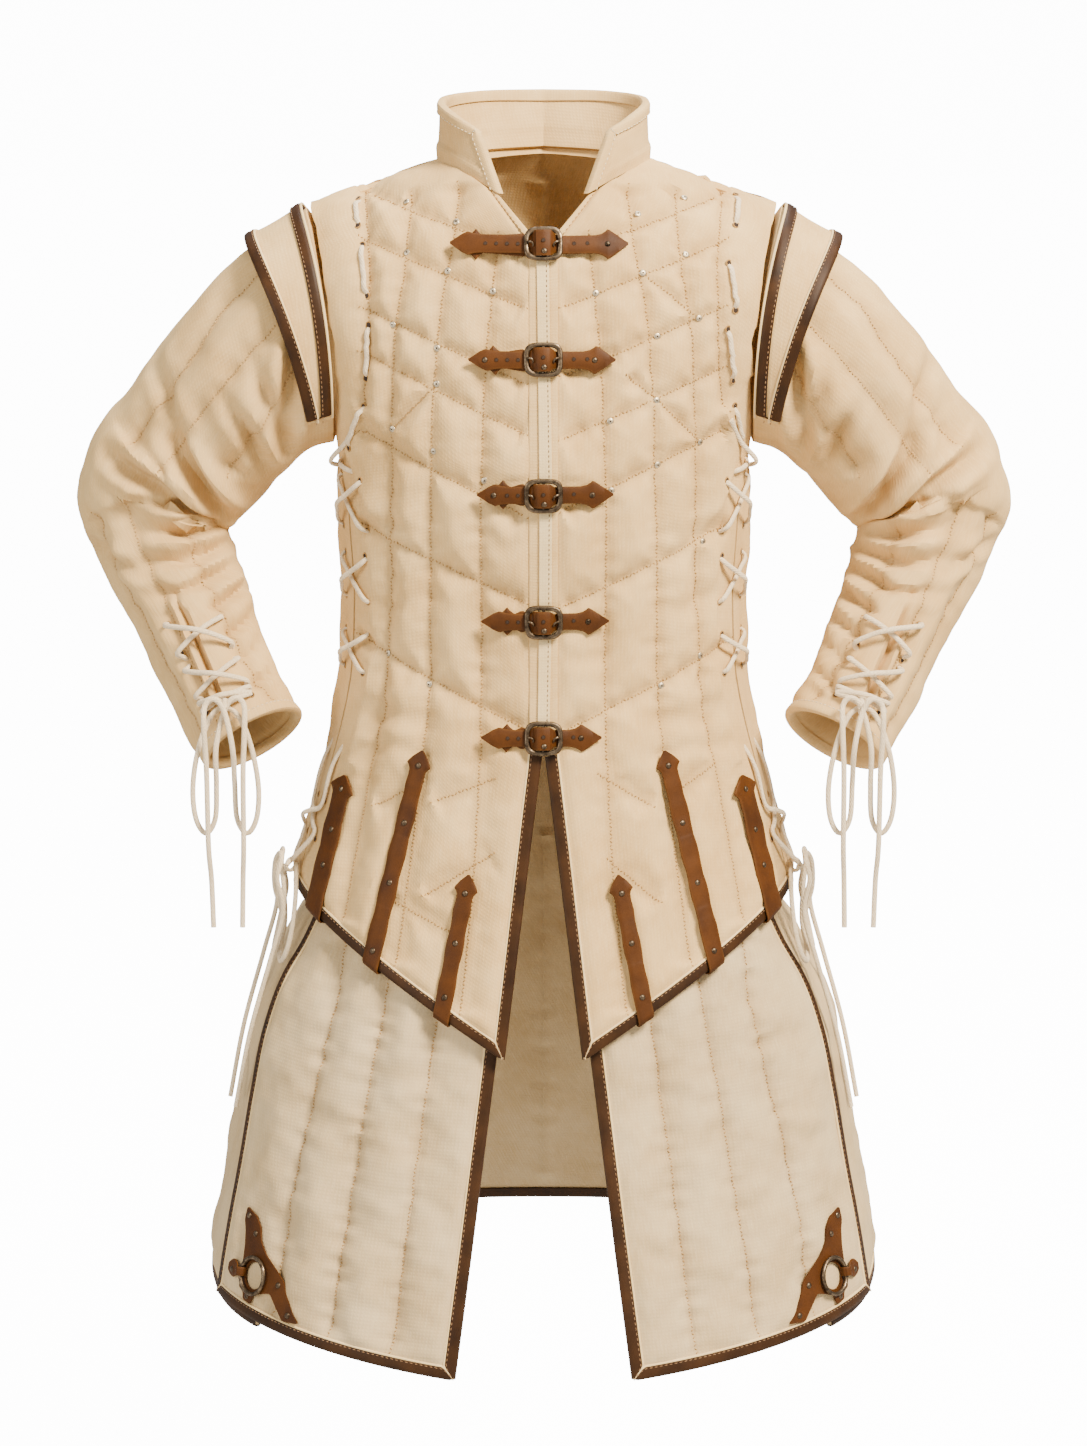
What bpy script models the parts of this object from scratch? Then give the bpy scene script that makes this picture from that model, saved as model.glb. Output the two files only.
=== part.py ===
# Gambeson: a quilted coat that laces at the sides and buckles down the front.
# Metres, +Z up. The front faces -Y and the wearer's left is +X.
# The origin is inside the base of the neck, level with the shoulders.

import math

import bmesh
import bpy
import numpy as np
from mathutils import Vector
from mathutils.geometry import delaunay_2d_cdt

for old in list(bpy.data.objects):
    bpy.data.objects.remove(old)

# ---------------------------------------------------------------- driving sizes
HALF_WALL = 0.003          # half the thickness of the quilted cloth
HALF_EDGE = 0.0018         # the same where a binding presses it
GAP = 0.0003               # left between pieces that touch
FOLD_AIR = 0.0008          # between a folded binding and the cloth in it
BINDING = 0.001            # thickness of the folded binding strips
BINDING_WIDTH = 0.9        # share of the edge column that a binding covers
EDGE_COLUMN = 0.010        # width of the thin column along a bound edge
FULL_COLUMN = 0.022        # where the quilt has its full thickness again
LIFT = 0.0010              # air under a leather strap
STRAP = 0.0016             # thickness of strap leather
LACE = 0.0045              # lace diameter
LACE_STEP = 0.013          # spacing of a lace's points
ROUNDNESS = 0.9            # power of the ring sections: 1 is an ellipse

SHOULDER_BASE = -0.14      # below this level the coat is a stack of rings
NECK_HALF = 0.085
NECK_SIDE = -0.011
SHOULDER_END = 0.187
SHOULDER_SLOPE = 0.333
V_TOP = (0.0345, -0.034)   # x and z where the collar ends
V_BOTTOM = -0.071
FRONT_EDGE = 0.0028
SPLIT_TOP = -0.4815        # the fronts part below the last buckle
FRONT_CORNER = (0.033, -0.7241)
FRONT_HEM_RISE = 0.644     # height gained per metre towards the side
LOWER_TOP = -0.50
LOWER_INNER = ((-0.50, 0.010), (-0.727, 0.040), (-0.985, 0.0735))
LOWER_CORNER = (0.0735, -0.986)
LOWER_HEM_RISE = 0.148
LOWER_SIDE = math.radians(70.0)
BACK_UNDERLAP = math.radians(56.0)
LACED_GAP = 0.0015         # from a side edge to the middle of its laced opening

# z, half width, depth in front, depth behind
BODY_RINGS = (
    (0.020, 0.2000, 0.108, 0.112),
    (-0.140, 0.2000, 0.113, 0.116),
    (-0.190, 0.1820, 0.122, 0.116),
    (-0.235, 0.1700, 0.127, 0.112),
    (-0.300, 0.1675, 0.126, 0.105),
    (-0.360, 0.1648, 0.122, 0.099),
    (-0.440, 0.1690, 0.124, 0.104),
    (-0.530, 0.1875, 0.137, 0.124),
    (-0.586, 0.2035, 0.148, 0.139),
    (-0.650, 0.2185, 0.162, 0.152),
    (-0.750, 0.2400, 0.181, 0.168),
)
LOWER_RINGS = (
    (-0.500, 0.1700, 0.122, 0.108),
    (-0.560, 0.1840, 0.134, 0.124),
    (-0.623, 0.1970, 0.1455, 0.137),
    (-0.655, 0.2120, 0.1512, 0.145),
    (-0.684, 0.2300, 0.158, 0.152),
    (-0.730, 0.2480, 0.166, 0.162),
    (-0.780, 0.2590, 0.178, 0.174),
    (-0.840, 0.2700, 0.195, 0.189),
    (-0.900, 0.2820, 0.212, 0.205),
    (-0.940, 0.2890, 0.224, 0.215),
    (-0.985, 0.2960, 0.235, 0.225),
)
# z, degrees round from the front centre
ARMHOLE = (
    (-0.045, 68.1), (-0.062, 61.5), (-0.088, 57.2), (-0.118, 55.5), (-0.150, 56.5),
    (-0.180, 63.0), (-0.208, 71.0), (-0.226, 81.0), (-0.2365, 90.0),
)
SIDE_OPENING = (
    (-0.2365, 90.0), (-0.260, 77.0), (-0.290, 69.0), (-0.360, 68.0), (-0.430, 69.0),
    (-0.500, 74.0), (-0.560, 77.0), (-0.640, 78.0),
)
# share of the way from the shoulder base up to the top edge
YOKE_ROWS = (1.0, 0.965, 0.88, 0.77, 0.65, 0.45, 0.22, 0.0)
# z at the front edge and z at the side
FRONT_ROWS = (
    (-0.170, -0.172), (-0.200, -0.203), (-0.225, -0.226), (-0.245, -0.2365), (-0.270, -0.262),
    (-0.310, -0.300), (-0.355, -0.345), (-0.400, -0.385), (-0.440, -0.420), (SPLIT_TOP, -0.455),
    (-0.530, -0.490), (-0.590, -0.525), (-0.650, -0.560),
)
# z at the back centre and z at the side
BACK_ROWS = (
    (-0.170, -0.172), (-0.200, -0.203), (-0.225, -0.226), (-0.240, -0.2365), (-0.268, -0.262),
    (-0.310, -0.300), (-0.355, -0.350), (-0.410, -0.405), (-0.460, -0.455), (-0.505, -0.490),
    (-0.550, -0.525), (-0.595, -0.560),
)
BACK_HEM = (-0.650, -0.6127)
LOWER_ROWS = (-0.500, -0.570, -0.625, -0.660, -0.690, -0.740, -0.810, -0.880)
BACK_SKIRT_HEM = (-0.975, -0.962)
BOUND_ROWS = (0.022, 0.010, 0.0)     # heights above a bound hem

# outer x, outer z, inner x, inner z, y, depth, bow: rings from the armhole to the cuff
SLEEVE_RINGS = (
    (0.1930, -0.0465, 0.1765, -0.2375, 0.000, 0.133, 0.009),
    (0.2250, -0.0710, 0.2000, -0.2450, 0.000, 0.143, 0.0),
    (0.2690, -0.1060, 0.2260, -0.2680, 0.009, 0.148, 0.0),
    (0.3090, -0.1530, 0.2470, -0.2920, 0.024, 0.143, 0.0),
    (0.3450, -0.1990, 0.2610, -0.3050, 0.034, 0.138, 0.0),
    (0.3700, -0.2260, 0.2680, -0.3100, 0.038, 0.134, 0.0),
    (0.3880, -0.2650, 0.2700, -0.3145, 0.040, 0.130, 0.0),
    (0.3930, -0.2920, 0.2700, -0.3200, 0.037, 0.128, 0.0),
    (0.3870, -0.3180, 0.2670, -0.3300, 0.031, 0.122, 0.0),
    (0.3660, -0.3600, 0.2570, -0.3580, 0.016, 0.112, 0.0),
    (0.3430, -0.4010, 0.2440, -0.3920, -0.002, 0.102, 0.0),
    (0.3040, -0.4690, 0.2170, -0.4440, -0.036, 0.092, 0.0),
    (0.2820, -0.5070, 0.2040, -0.4570, -0.052, 0.092, 0.0),
)
SLEEVE_STATIONS = (0, 1, 2, 3, 4, 5, 6, 7, 8, 9, 10, 11, 11.75, 12)
SLEEVE_SIDES = 16

WING_REACH = math.radians(135.0)
WING_ROWS = 13
WING_OFF = 0.0087          # from the sleeve's middle to the wing's
WING_START = 0.004
WING_MIN = 0.018
WING_WIDTH = 0.050
WING_TIP_LIFT = 0.007

# neck x, part of the neckline, top x, top y, top z
COLLAR = (
    (0.0345, "front", 0.053, -0.055, 0.019),
    (0.0600, "front", 0.069, -0.042, 0.028),
    (0.0780, "front", 0.080, -0.022, 0.035),
    (0.0850, "front", 0.084, 0.000, 0.040),
    (0.0740, "back", 0.077, 0.030, 0.044),
    (0.0450, "back", 0.049, 0.057, 0.046),
    (0.0000, "back", 0.000, 0.068, 0.047),
)
COLLAR_SEAT = 0.0042       # from the neckline's middle up to the collar

# height, reach to the wearer's right, reach to the left
CLOSURES = (
    (-0.0715, 0.0735, 0.0670),
    (-0.1610, 0.0590, 0.0570),
    (-0.2670, 0.0520, 0.0550),
    (-0.3710, 0.0490, 0.0520),
    (-0.4670, 0.0495, 0.0465),
)
STRAP_HALF = 0.0069
BUCKLE = {"half_width": 0.0155, "half_height": 0.01275, "bar": 0.0033, "height": 0.0091,
          "depth": 0.003, "pin_radius": 0.0014}

# name, tip x, tip z, x at the hem, depth of the part folded under the hem
SKIRT_STRAPS = (
    ("inner", 0.0599, -0.578, 0.0825, 0.0048),
    ("middle", 0.0969, -0.4806, 0.1400, 0.0058),
    ("outer", 0.1606, -0.5107, 0.1885, 0.0072),
)

# the corner's leather plate, as seen from outside: u towards the front edge, v up
RING_PLACE = (math.radians(54.5), -0.925)
RING = {"radius": 0.0152, "wire": 0.0018, "height": 0.0078}
PLATE_HEIGHT = 0.0042
PLATE_THICK = 0.0014
PLATE_HOLE = 0.0115
TAB_RAISE = 0.0016         # brings the tab level with the middle of its ring
PLATE = (
    (-0.0240, 0.0560), (-0.0150, 0.0520), (-0.0090, 0.0500), (-0.0010, 0.0410), (0.0020, 0.0300),
    (0.0110, 0.0190), (0.0240, 0.0090), (0.0320, 0.0000), (0.0340, -0.0110), (0.0400, -0.0250),
    (0.0450, -0.0315), (0.0300, -0.0300), (0.0235, -0.0200), (0.0190, -0.0120), (0.0120, -0.0135),
    (0.0020, -0.0165), (-0.0010, -0.0245), (-0.0110, -0.0215), (-0.0120, -0.0155),
    (-0.0185, -0.0120), (-0.0180, 0.0100), (-0.0185, 0.0230), (-0.0210, 0.0360), (-0.0250, 0.0450),
)

# top, foot, middle and half spread in degrees
SIDE_CROSSES = ((-0.2720, -0.3060, 68.0, 9.0), (-0.3360, -0.3700, 67.5, 9.0),
                (-0.4000, -0.4300, 68.5, 8.5), (-0.5400, -0.5660, 76.0, 5.5))
SIDE_TOP = {"front": ((56.0, -0.2120), (65.0, -0.2315), (74.3, -0.2512), (77.5, -0.2620)),
            "back": ((81.0, -0.2475), (74.3, -0.2512), (66.0, -0.2575), (60.0, -0.2655))}
SIDE_RUN = ((-0.462, 71.0, 7.0), (-0.505, 74.5, 5.5))
LACE_LOW = 0.0062          # from the cloth's middle to a lace that lies on it
LACE_LEVEL = 0.0058        # between laces that cross
SIDE_KNOT = (math.radians(79.0), -0.596)
SIDE_BOW = (0.079, 0.207)  # drop of the loops and of the ends
CUFF_BOW = (0.105, 0.185)
CUFF_CROSSES = ((10.04, 10.40), (10.54, 10.88), (10.98, 11.22))
CUFF_LOOP = 9.82
CUFF_KNOT = 11.40
CUFF_LOW = 0.0070
CUFF_SPREAD = math.radians(27.0)
CUFF_HANG = 0.016          # how far forward the laces hang, clear of the cuff

COLOURS = {                # base colour, roughness, metallic
    "cloth": ((0.72, 0.62, 0.46, 1.0), 0.85, 0.0),
    "lower_cloth": ((0.70, 0.62, 0.50, 1.0), 0.85, 0.0),
    "self_binding": ((0.76, 0.67, 0.52, 1.0), 0.8, 0.0),
    "brown_binding": ((0.09, 0.05, 0.03, 1.0), 0.45, 0.0),
    "strap": ((0.21, 0.11, 0.06, 1.0), 0.6, 0.0),
    "lace": ((0.80, 0.73, 0.60, 1.0), 0.85, 0.0),
    "bronze": ((0.28, 0.24, 0.19, 1.0), 0.4, 1.0),
}


# ---------------------------------------------------------------- helpers
def curve_value(table, column, at):
    """A smooth value from a table whose first column falls from row to row."""
    data = np.array(table, float)[::-1]
    keys = data[:, 0]
    values = data[:, column]
    slopes = np.gradient(values, keys)
    at = min(max(at, keys[0]), keys[-1])
    i = min(max(int(np.searchsorted(keys, at)) - 1, 0), len(keys) - 2)
    span = keys[i + 1] - keys[i]
    t = (at - keys[i]) / span
    return ((2 * t**3 - 3 * t**2 + 1) * values[i] + (t**3 - 2 * t**2 + t) * span * slopes[i]
            + (3 * t**2 - 2 * t**3) * values[i + 1] + (t**3 - t**2) * span * slopes[i + 1])


def straight_value(table, at):
    keys = [row[0] for row in table][::-1]
    values = [row[1] for row in table][::-1]
    return float(np.interp(at, keys, values))


def spline(points, samples):
    """Points on a smooth curve through the given points, the same number in each stretch."""
    p = np.array(points, float)
    p = np.vstack([2 * p[0] - p[1], p, 2 * p[-1] - p[-2]])
    out = []
    for i in range(1, len(p) - 2):
        for t in np.arange(samples) / samples:
            out.append(0.5 * (2 * p[i] + (p[i + 1] - p[i - 1]) * t
                              + (2 * p[i - 1] - 5 * p[i] + 4 * p[i + 1] - p[i + 2]) * t**2
                              + (3 * p[i] - p[i - 1] - 3 * p[i + 1] + p[i + 2]) * t**3))
    out.append(p[-2])
    return np.array(out)


def resample(line, distances):
    line = np.array(line, float)
    steps = np.linalg.norm(np.diff(line, axis=0), axis=1)
    along = np.concatenate([[0.0], np.cumsum(steps)])
    return np.stack([np.interp(distances, along, line[:, k]) for k in range(3)], axis=1)


def length_of(line):
    return float(np.linalg.norm(np.diff(np.array(line), axis=0), axis=1).sum())


def unit(vectors):
    return vectors / np.linalg.norm(vectors, axis=-1, keepdims=True)


def material(kind):
    found = bpy.data.materials.get(kind)
    if found:
        return found
    made = bpy.data.materials.new(kind)
    made.use_nodes = True
    shader = made.node_tree.nodes["Principled BSDF"]
    colour, roughness, metallic = COLOURS[kind]
    shader.inputs["Base Color"].default_value = colour
    shader.inputs["Roughness"].default_value = roughness
    shader.inputs["Metallic"].default_value = metallic
    return made


def add_mesh(name, vertices, faces, kind):
    mesh = bpy.data.meshes.new(name)
    mesh.from_pydata([tuple(v) for v in vertices], [], faces)
    shape = bmesh.new()
    shape.from_mesh(mesh)
    bmesh.ops.recalc_face_normals(shape, faces=shape.faces)
    shape.to_mesh(mesh)
    shape.free()
    own = material(kind).copy()
    own.name = name
    mesh.materials.append(own)
    mesh.shade_smooth()
    mesh.set_sharp_from_angle(angle=math.radians(40))
    made = bpy.data.objects.new(name, mesh)
    bpy.context.scene.collection.objects.link(made)
    return made


# ---------------------------------------------------------------- surfaces
def ring_point(angle, z, rings, inset=0.0):
    half = curve_value(rings, 1, z) - inset
    depth = curve_value(rings, 2 if math.cos(angle) > 0 else 3, z) - inset
    x = math.copysign(half * abs(math.sin(angle)) ** ROUNDNESS, math.sin(angle))
    y = -math.copysign(depth * abs(math.cos(angle)) ** ROUNDNESS, math.cos(angle))
    return x, y


def shoulder_height(x):
    return NECK_SIDE - SHOULDER_SLOPE * (abs(x) - NECK_HALF)


def body_point(angle, z):
    x, y = ring_point(angle, z, BODY_RINGS)
    if z > SHOULDER_BASE:
        up = (z - SHOULDER_BASE) / (shoulder_height(x) - SHOULDER_BASE)
        y *= math.sqrt(max(0.0, 1.0 - up * up))
    return np.array((x, y, z))


def lower_point(angle, z, inset=0.0):
    x, y = ring_point(angle, z, LOWER_RINGS, inset)
    return np.array((x, y, z))


def outer_point(angle, z):
    """The outermost of the coat and its lower skirts."""
    inner = body_point(angle, z)
    if z > -0.60:
        return inner
    other = lower_point(angle, z)
    return inner if np.linalg.norm(inner[:2]) > np.linalg.norm(other[:2]) else other


def body_angle(x, z):
    return math.asin(min(1.0, (abs(x) / curve_value(BODY_RINGS, 1, z))) ** (1 / ROUNDNESS))


def surface_frame(point, angle, z, nudge=0.002):
    """A point on a surface with its outward normal."""
    here = point(angle, z)
    round_way = point(angle + nudge * 4, z) - point(angle - nudge * 4, z)
    up_way = point(angle, z + nudge) - point(angle, z - nudge)
    return here, unit(np.cross(round_way, up_way))


def panel_normals(points):
    return unit(np.cross(np.gradient(points, axis=1), -np.gradient(points, axis=0)))


def wall(name, points, normals, half, kind, closed=False):
    """A closed solid wall round a grid of middle points."""
    rows, columns = points.shape[:2]
    half = half[..., None]
    vertices = np.concatenate([(points + normals * half).reshape(-1, 3),
                               (points - normals * half).reshape(-1, 3)])
    back = rows * columns
    faces = []
    for i in range(rows - 1):
        for j in range(columns if closed else columns - 1):
            k = (j + 1) % columns
            corner = (i * columns + j, i * columns + k, (i + 1) * columns + k, (i + 1) * columns + j)
            faces.append(corner)
            faces.append(tuple(back + c for c in reversed(corner)))
    rim = []
    if closed:
        for i in (0, rows - 1):
            rim += [(i * columns + j, i * columns + (j + 1) % columns) for j in range(columns)]
    else:
        for i in (0, rows - 1):
            rim += [(i * columns + j, i * columns + j + 1) for j in range(columns - 1)]
        for j in (0, columns - 1):
            rim += [(i * columns + j, (i + 1) * columns + j) for i in range(rows - 1)]
    faces += [(a, b, back + b, back + a) for a, b in rim]
    return add_mesh(name, vertices, faces, kind)


def sweep(name, sections, caps, kind, closed=False):
    """Skin a run of equal sections; caps lists the faces of an end."""
    sections = np.array(sections)
    count, sides = sections.shape[:2]
    faces = []
    for i in range(count if closed else count - 1):
        n = (i + 1) % count
        for j in range(sides):
            k = (j + 1) % sides
            faces.append((i * sides + j, i * sides + k, n * sides + k, n * sides + j))
    if not closed:
        last = (count - 1) * sides
        for cap in caps:
            faces.append(tuple(reversed(cap)))
            faces.append(tuple(last + c for c in cap))
    return add_mesh(name, sections.reshape(-1, 3), faces, kind)


def bind_edge(name, panel, path, kind, share=BINDING_WIDTH, closed=False, air=FOLD_AIR):
    """A strip folded over a panel's edge: path pairs each edge point with the one inside it."""
    points, normals, half = panel
    sections = []
    for edge, inside in path:
        p, n, h = points[edge], normals[edge], half[edge]
        q = p + (points[inside] - p) * share
        m = unit(n + (normals[inside] - n) * share)
        out = p - points[inside]
        out = unit(out - n * np.dot(out, n))
        near = h + air
        far = near + BINDING
        inner = out * (air - 0.0005)
        outer = inner + out * BINDING
        sections.append((q + m * far, p + n * far + outer, p - n * far + outer, q - m * far,
                         q - m * near, p - n * near + inner, p + n * near + inner, q + m * near))
    sections = np.array(sections)
    if not closed:
        for end, beside in ((0, 1), (-1, -2)):
            move = (sections[beside] - sections[end]).mean(axis=0)
            sections[end] += unit(move) * GAP * 1.5
    caps = ((0, 1, 6, 7), (1, 2, 5, 6), (2, 3, 4, 5))
    return sweep(name, sections, caps, kind, closed)


def side_edge(z):
    table = ARMHOLE if z > ARMHOLE[-1][0] else SIDE_OPENING
    return math.radians(straight_value(table, z))


# ---------------------------------------------------------------- coat panels
def top_edge(x, back=False):
    """Height of the top edge: the shoulder seam, and inside it the neckline."""
    x = abs(x)
    if x >= NECK_HALF:
        return shoulder_height(x)
    if back:
        return NECK_SIDE + 0.009 * (1 - (x / NECK_HALF) ** 2)
    inward = (NECK_HALF - x) / (NECK_HALF - V_TOP[0])
    return NECK_SIDE - (NECK_SIDE - V_TOP[1]) * max(0.0, inward) ** 1.2


def front_edge(z):
    """Distance of the front panel's edge from the centre."""
    if z > V_BOTTOM:
        return float(np.interp(z, (V_BOTTOM, V_TOP[1]), (FRONT_EDGE, V_TOP[0])))
    if z > SPLIT_TOP:
        return FRONT_EDGE
    return float(np.interp(z, (FRONT_CORNER[1], SPLIT_TOP), (FRONT_CORNER[0], FRONT_EDGE)))


def front_hem(x):
    return FRONT_CORNER[1] + FRONT_HEM_RISE * (x - FRONT_CORNER[0])


def yoke_row(share, back):
    """One row of the upper part, from the front edge or the centre back to the armhole."""
    line = []
    low = SHOULDER_BASE + (V_TOP[1] - SHOULDER_BASE) * share
    start = 0.0 if back else front_edge(low)
    end_z = SHOULDER_BASE + (top_edge(SHOULDER_END) - SHOULDER_BASE) * share
    half = BODY_RINGS[1][1]
    end = half * math.sin(side_edge(end_z)) ** ROUNDNESS
    for x in np.linspace(start, end, 60):
        inner = (x - start) / (end - start)
        top_x = (V_TOP[0] if not back else 0.0) * (1 - inner) + SHOULDER_END * inner
        z = SHOULDER_BASE + (top_edge(top_x, back) - SHOULDER_BASE) * share
        angle = math.asin((x / half) ** (1 / ROUNDNESS))
        line.append(body_point(math.pi - angle if back else angle, z))
        if share == 1.0 and top_x >= NECK_HALF:
            line[-1][1] = (GAP if back else -GAP) * 0.7
    return line


def ring_row(inner_z, outer_z, start_x, back):
    """One row below the shoulder, with its height straight across in x."""
    line = []
    end_angle = side_edge(outer_z)
    if back and outer_z > ARMHOLE[-1][0]:
        end_angle = math.pi - end_angle
    start_angle = body_angle(start_x, inner_z)
    end_x = ring_point(end_angle, outer_z, BODY_RINGS)[0]
    for share in np.linspace(0, 1, 60):
        if back:
            angle = math.pi - (math.pi - end_angle) * share
            z = inner_z + (outer_z - inner_z) * share
        else:
            angle = start_angle + (end_angle - start_angle) * share
            z = inner_z
            for _ in range(4):
                x = ring_point(angle, z, BODY_RINGS)[0]
                z = inner_z + (outer_z - inner_z) * min(1.0, (x - start_x) / (end_x - start_x))
        line.append(body_point(angle, z))
    return line


def spread_row(line, middle, bound_start=True, bound_end=False, trim=0.0):
    """Columns along a row: thin ones along bound edges, the rest even."""
    total = length_of(line) - trim
    start = [0.0, EDGE_COLUMN, FULL_COLUMN] if bound_start else [0.0]
    end = [total - FULL_COLUMN, total - EDGE_COLUMN, total] if bound_end else [total]
    between = np.linspace(start[-1], end[0], middle + 2)[1:-1]
    return resample(line, np.concatenate([start, between, end]))


def front_panel():
    lines = [yoke_row(share, False) for share in YOKE_ROWS]
    for inner_z, outer_z in FRONT_ROWS:
        lines.append(ring_row(inner_z, outer_z, front_edge(inner_z), False))
    side_x = ring_point(side_edge(BACK_HEM[1]), BACK_HEM[1], BODY_RINGS)[0]
    for above in BOUND_ROWS:
        start = front_edge(FRONT_CORNER[1] + above)
        lines.append(ring_row(FRONT_CORNER[1] + above, front_hem(side_x) + above, start, False))
    trims = [0.0] * len(YOKE_ROWS) + [LACED_GAP] * (len(lines) - len(YOKE_ROWS))
    points = np.array([spread_row(line, 5, trim=trim) for line, trim in zip(lines, trims)])
    normals = panel_normals(points)
    shoulder = points[0, :, 0] > NECK_HALF - 0.002
    normals[0, shoulder, 1] = 0.0
    normals[0] = unit(normals[0])
    half = np.full(points.shape[:2], HALF_WALL)
    half[:, :2] = HALF_EDGE
    half[-2:, :] = HALF_EDGE
    half[0, :2] = HALF_EDGE
    return points, normals, half


def back_panel():
    lines = [yoke_row(share, True) for share in YOKE_ROWS]
    for inner_z, outer_z in BACK_ROWS:
        lines.append(ring_row(inner_z, outer_z, 0.0, True))
    for above in BOUND_ROWS:
        lines.append(ring_row(BACK_HEM[0] + above, BACK_HEM[1] + above, 0.0, True))
    trims = [0.0] * len(YOKE_ROWS) + [LACED_GAP] * (len(lines) - len(YOKE_ROWS))
    halves = np.array([spread_row(line, 6, bound_start=False, trim=trim)
                       for line, trim in zip(lines, trims)])
    mirrored = halves[:, :0:-1] * (-1, 1, 1)
    points = np.concatenate([mirrored, halves], axis=1)[:, ::-1]
    normals = panel_normals(points)
    shoulder = np.abs(points[0, :, 0]) > NECK_HALF - 0.002
    normals[0, shoulder, 1] = 0.0
    normals[0] = unit(normals[0])
    half = np.full(points.shape[:2], HALF_WALL)
    half[-2:, :] = HALF_EDGE
    return points, normals, half


def mirror(panel):
    points, normals, half = panel
    flip = np.array((-1, 1, 1))
    return points * flip, normals * flip, half


def make_coat():
    front = front_panel()
    rows, columns = front[0].shape[:2]
    split = len(YOKE_ROWS) + [z for z, _ in FRONT_ROWS].index(SPLIT_TOP)
    self_path = [((i, 0), (i, 1)) for i in range(split + 1)]
    leather_path = [((i, 0), (i, 1)) for i in range(split, rows - 1)]
    leather_path.append(((rows - 1, 0), (rows - 2, 1)))
    leather_path += [((rows - 1, j), (rows - 2, j)) for j in range(1, columns)]
    for side, panel in (("left", front), ("right", mirror(front))):
        wall(f"front_{side}", *panel, "cloth")
        bind_edge(f"front_binding_{side}", panel, self_path, "self_binding")
        bind_edge(f"hem_binding_{side}", panel, leather_path, "brown_binding")
    back = back_panel()
    last, columns = back[0].shape[0] - 1, back[0].shape[1]
    wall("back", *back, "cloth")
    bind_edge("back_hem_binding", back, [((last, j), (last - 1, j)) for j in range(columns)],
              "brown_binding")


def neck_point(x, part):
    z = top_edge(x, part == "back")
    angle = math.asin((x / BODY_RINGS[1][1]) ** (1 / ROUNDNESS))
    return body_point(math.pi - angle if part == "back" else angle, z)


def collar_panel():
    base = []
    top = []
    for x, part, top_x, top_y, top_z in COLLAR:
        base.append(neck_point(x, part) + (0, 0, COLLAR_SEAT))
        top.append((top_x, top_y, top_z))
    base = spline(base, 12)
    top = spline(top, 12)
    count = 8
    columns = []
    for line in (base, top):
        spread = spread_row(line, count - 3)
        columns.append(np.concatenate([spread, (spread[:-1] * (-1, 1, 1))[::-1]]))
    base, top = columns
    height = np.linalg.norm(top - base, axis=1)[:, None]
    shares = (np.zeros_like(height), 0.5 + 0 * height, 1 - 0.010 / height, 1 + 0 * height)
    points = np.array([base + (top - base) * share for share in shares])
    normals = -panel_normals(points)
    half = np.full(points.shape[:2], 0.0025)
    half[:, :2] = HALF_EDGE
    half[:, -2:] = HALF_EDGE
    half[-2:, :] = HALF_EDGE
    return points, normals, half


def make_collar():
    panel = collar_panel()
    rows, columns = panel[0].shape[:2]
    wall("collar", *panel, "cloth")
    path = [((i, 0), (i, 1)) for i in range(rows - 1)]
    path.append(((rows - 1, 0), (rows - 2, 1)))
    path += [((rows - 1, j), (rows - 2, j)) for j in range(1, columns - 1)]
    path.append(((rows - 1, columns - 1), (rows - 2, columns - 2)))
    path += [((i, columns - 1), (i, columns - 2)) for i in range(rows - 2, -1, -1)]
    bind_edge("collar_binding", panel, path, "self_binding", air=0.0019)


# ---------------------------------------------------------------- sleeves
def sleeve_ring(station):
    """Centre, half height and half depth vectors and bow of a ring."""
    rings = np.array(SLEEVE_RINGS)
    i = min(int(station), len(rings) - 2)
    t = station - i

    def values(at):
        row = rings[min(max(at, 0), len(rings) - 1)]
        if at < 0:
            row = 2 * rings[0] - rings[1]
        if at >= len(rings):
            row = 2 * rings[-1] - rings[-2]
        outer = np.array((row[0], row[4], row[1]))
        inner = np.array((row[2], row[4], row[3]))
        return np.concatenate([(outer + inner) / 2, (outer - inner) / 2, row[5:7]])

    a, b, c, d = values(i - 1), values(i), values(i + 1), values(i + 2)
    now = 0.5 * (2 * b + (c - a) * t + (2 * a - 5 * b + 4 * c - d) * t**2
                 + (3 * b - a - 3 * c + d) * t**3)
    way = 0.5 * ((c - a) + 2 * (2 * a - 5 * b + 4 * c - d) * t + 3 * (3 * b - a - 3 * c + d) * t**2)
    up = now[3:6] * (1 - HALF_WALL / np.linalg.norm(now[3:6]))
    across = unit(np.cross(way[:3], up))
    if across[1] > 0:
        across = -across
    turned = min(1.0, max(0.0, (station - 0.5) / 4))
    turned = turned * turned * (3 - 2 * turned)
    across = unit(np.array((0.0, -1.0, 0.0)) * (1 - turned) + across * turned)
    return now[:3], up, across * (now[6] / 2 - HALF_WALL), now[7]


def sleeve_point(station, angle):
    centre, up, across, bow = sleeve_ring(station)
    point = centre + up * math.cos(angle) + across * math.sin(angle)
    point[0] -= bow * math.sin(angle) ** 2
    return point


def sleeve_frame(station, angle):
    here = sleeve_point(station, angle)
    round_way = sleeve_point(station, angle + 0.05) - sleeve_point(station, angle - 0.05)
    along = sleeve_point(station + 0.05, angle) - sleeve_point(station - 0.05, angle)
    normal = unit(np.cross(round_way, along))
    centre = sleeve_ring(station)[0]
    return here, normal if np.dot(normal, here - centre) > 0 else -normal


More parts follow.
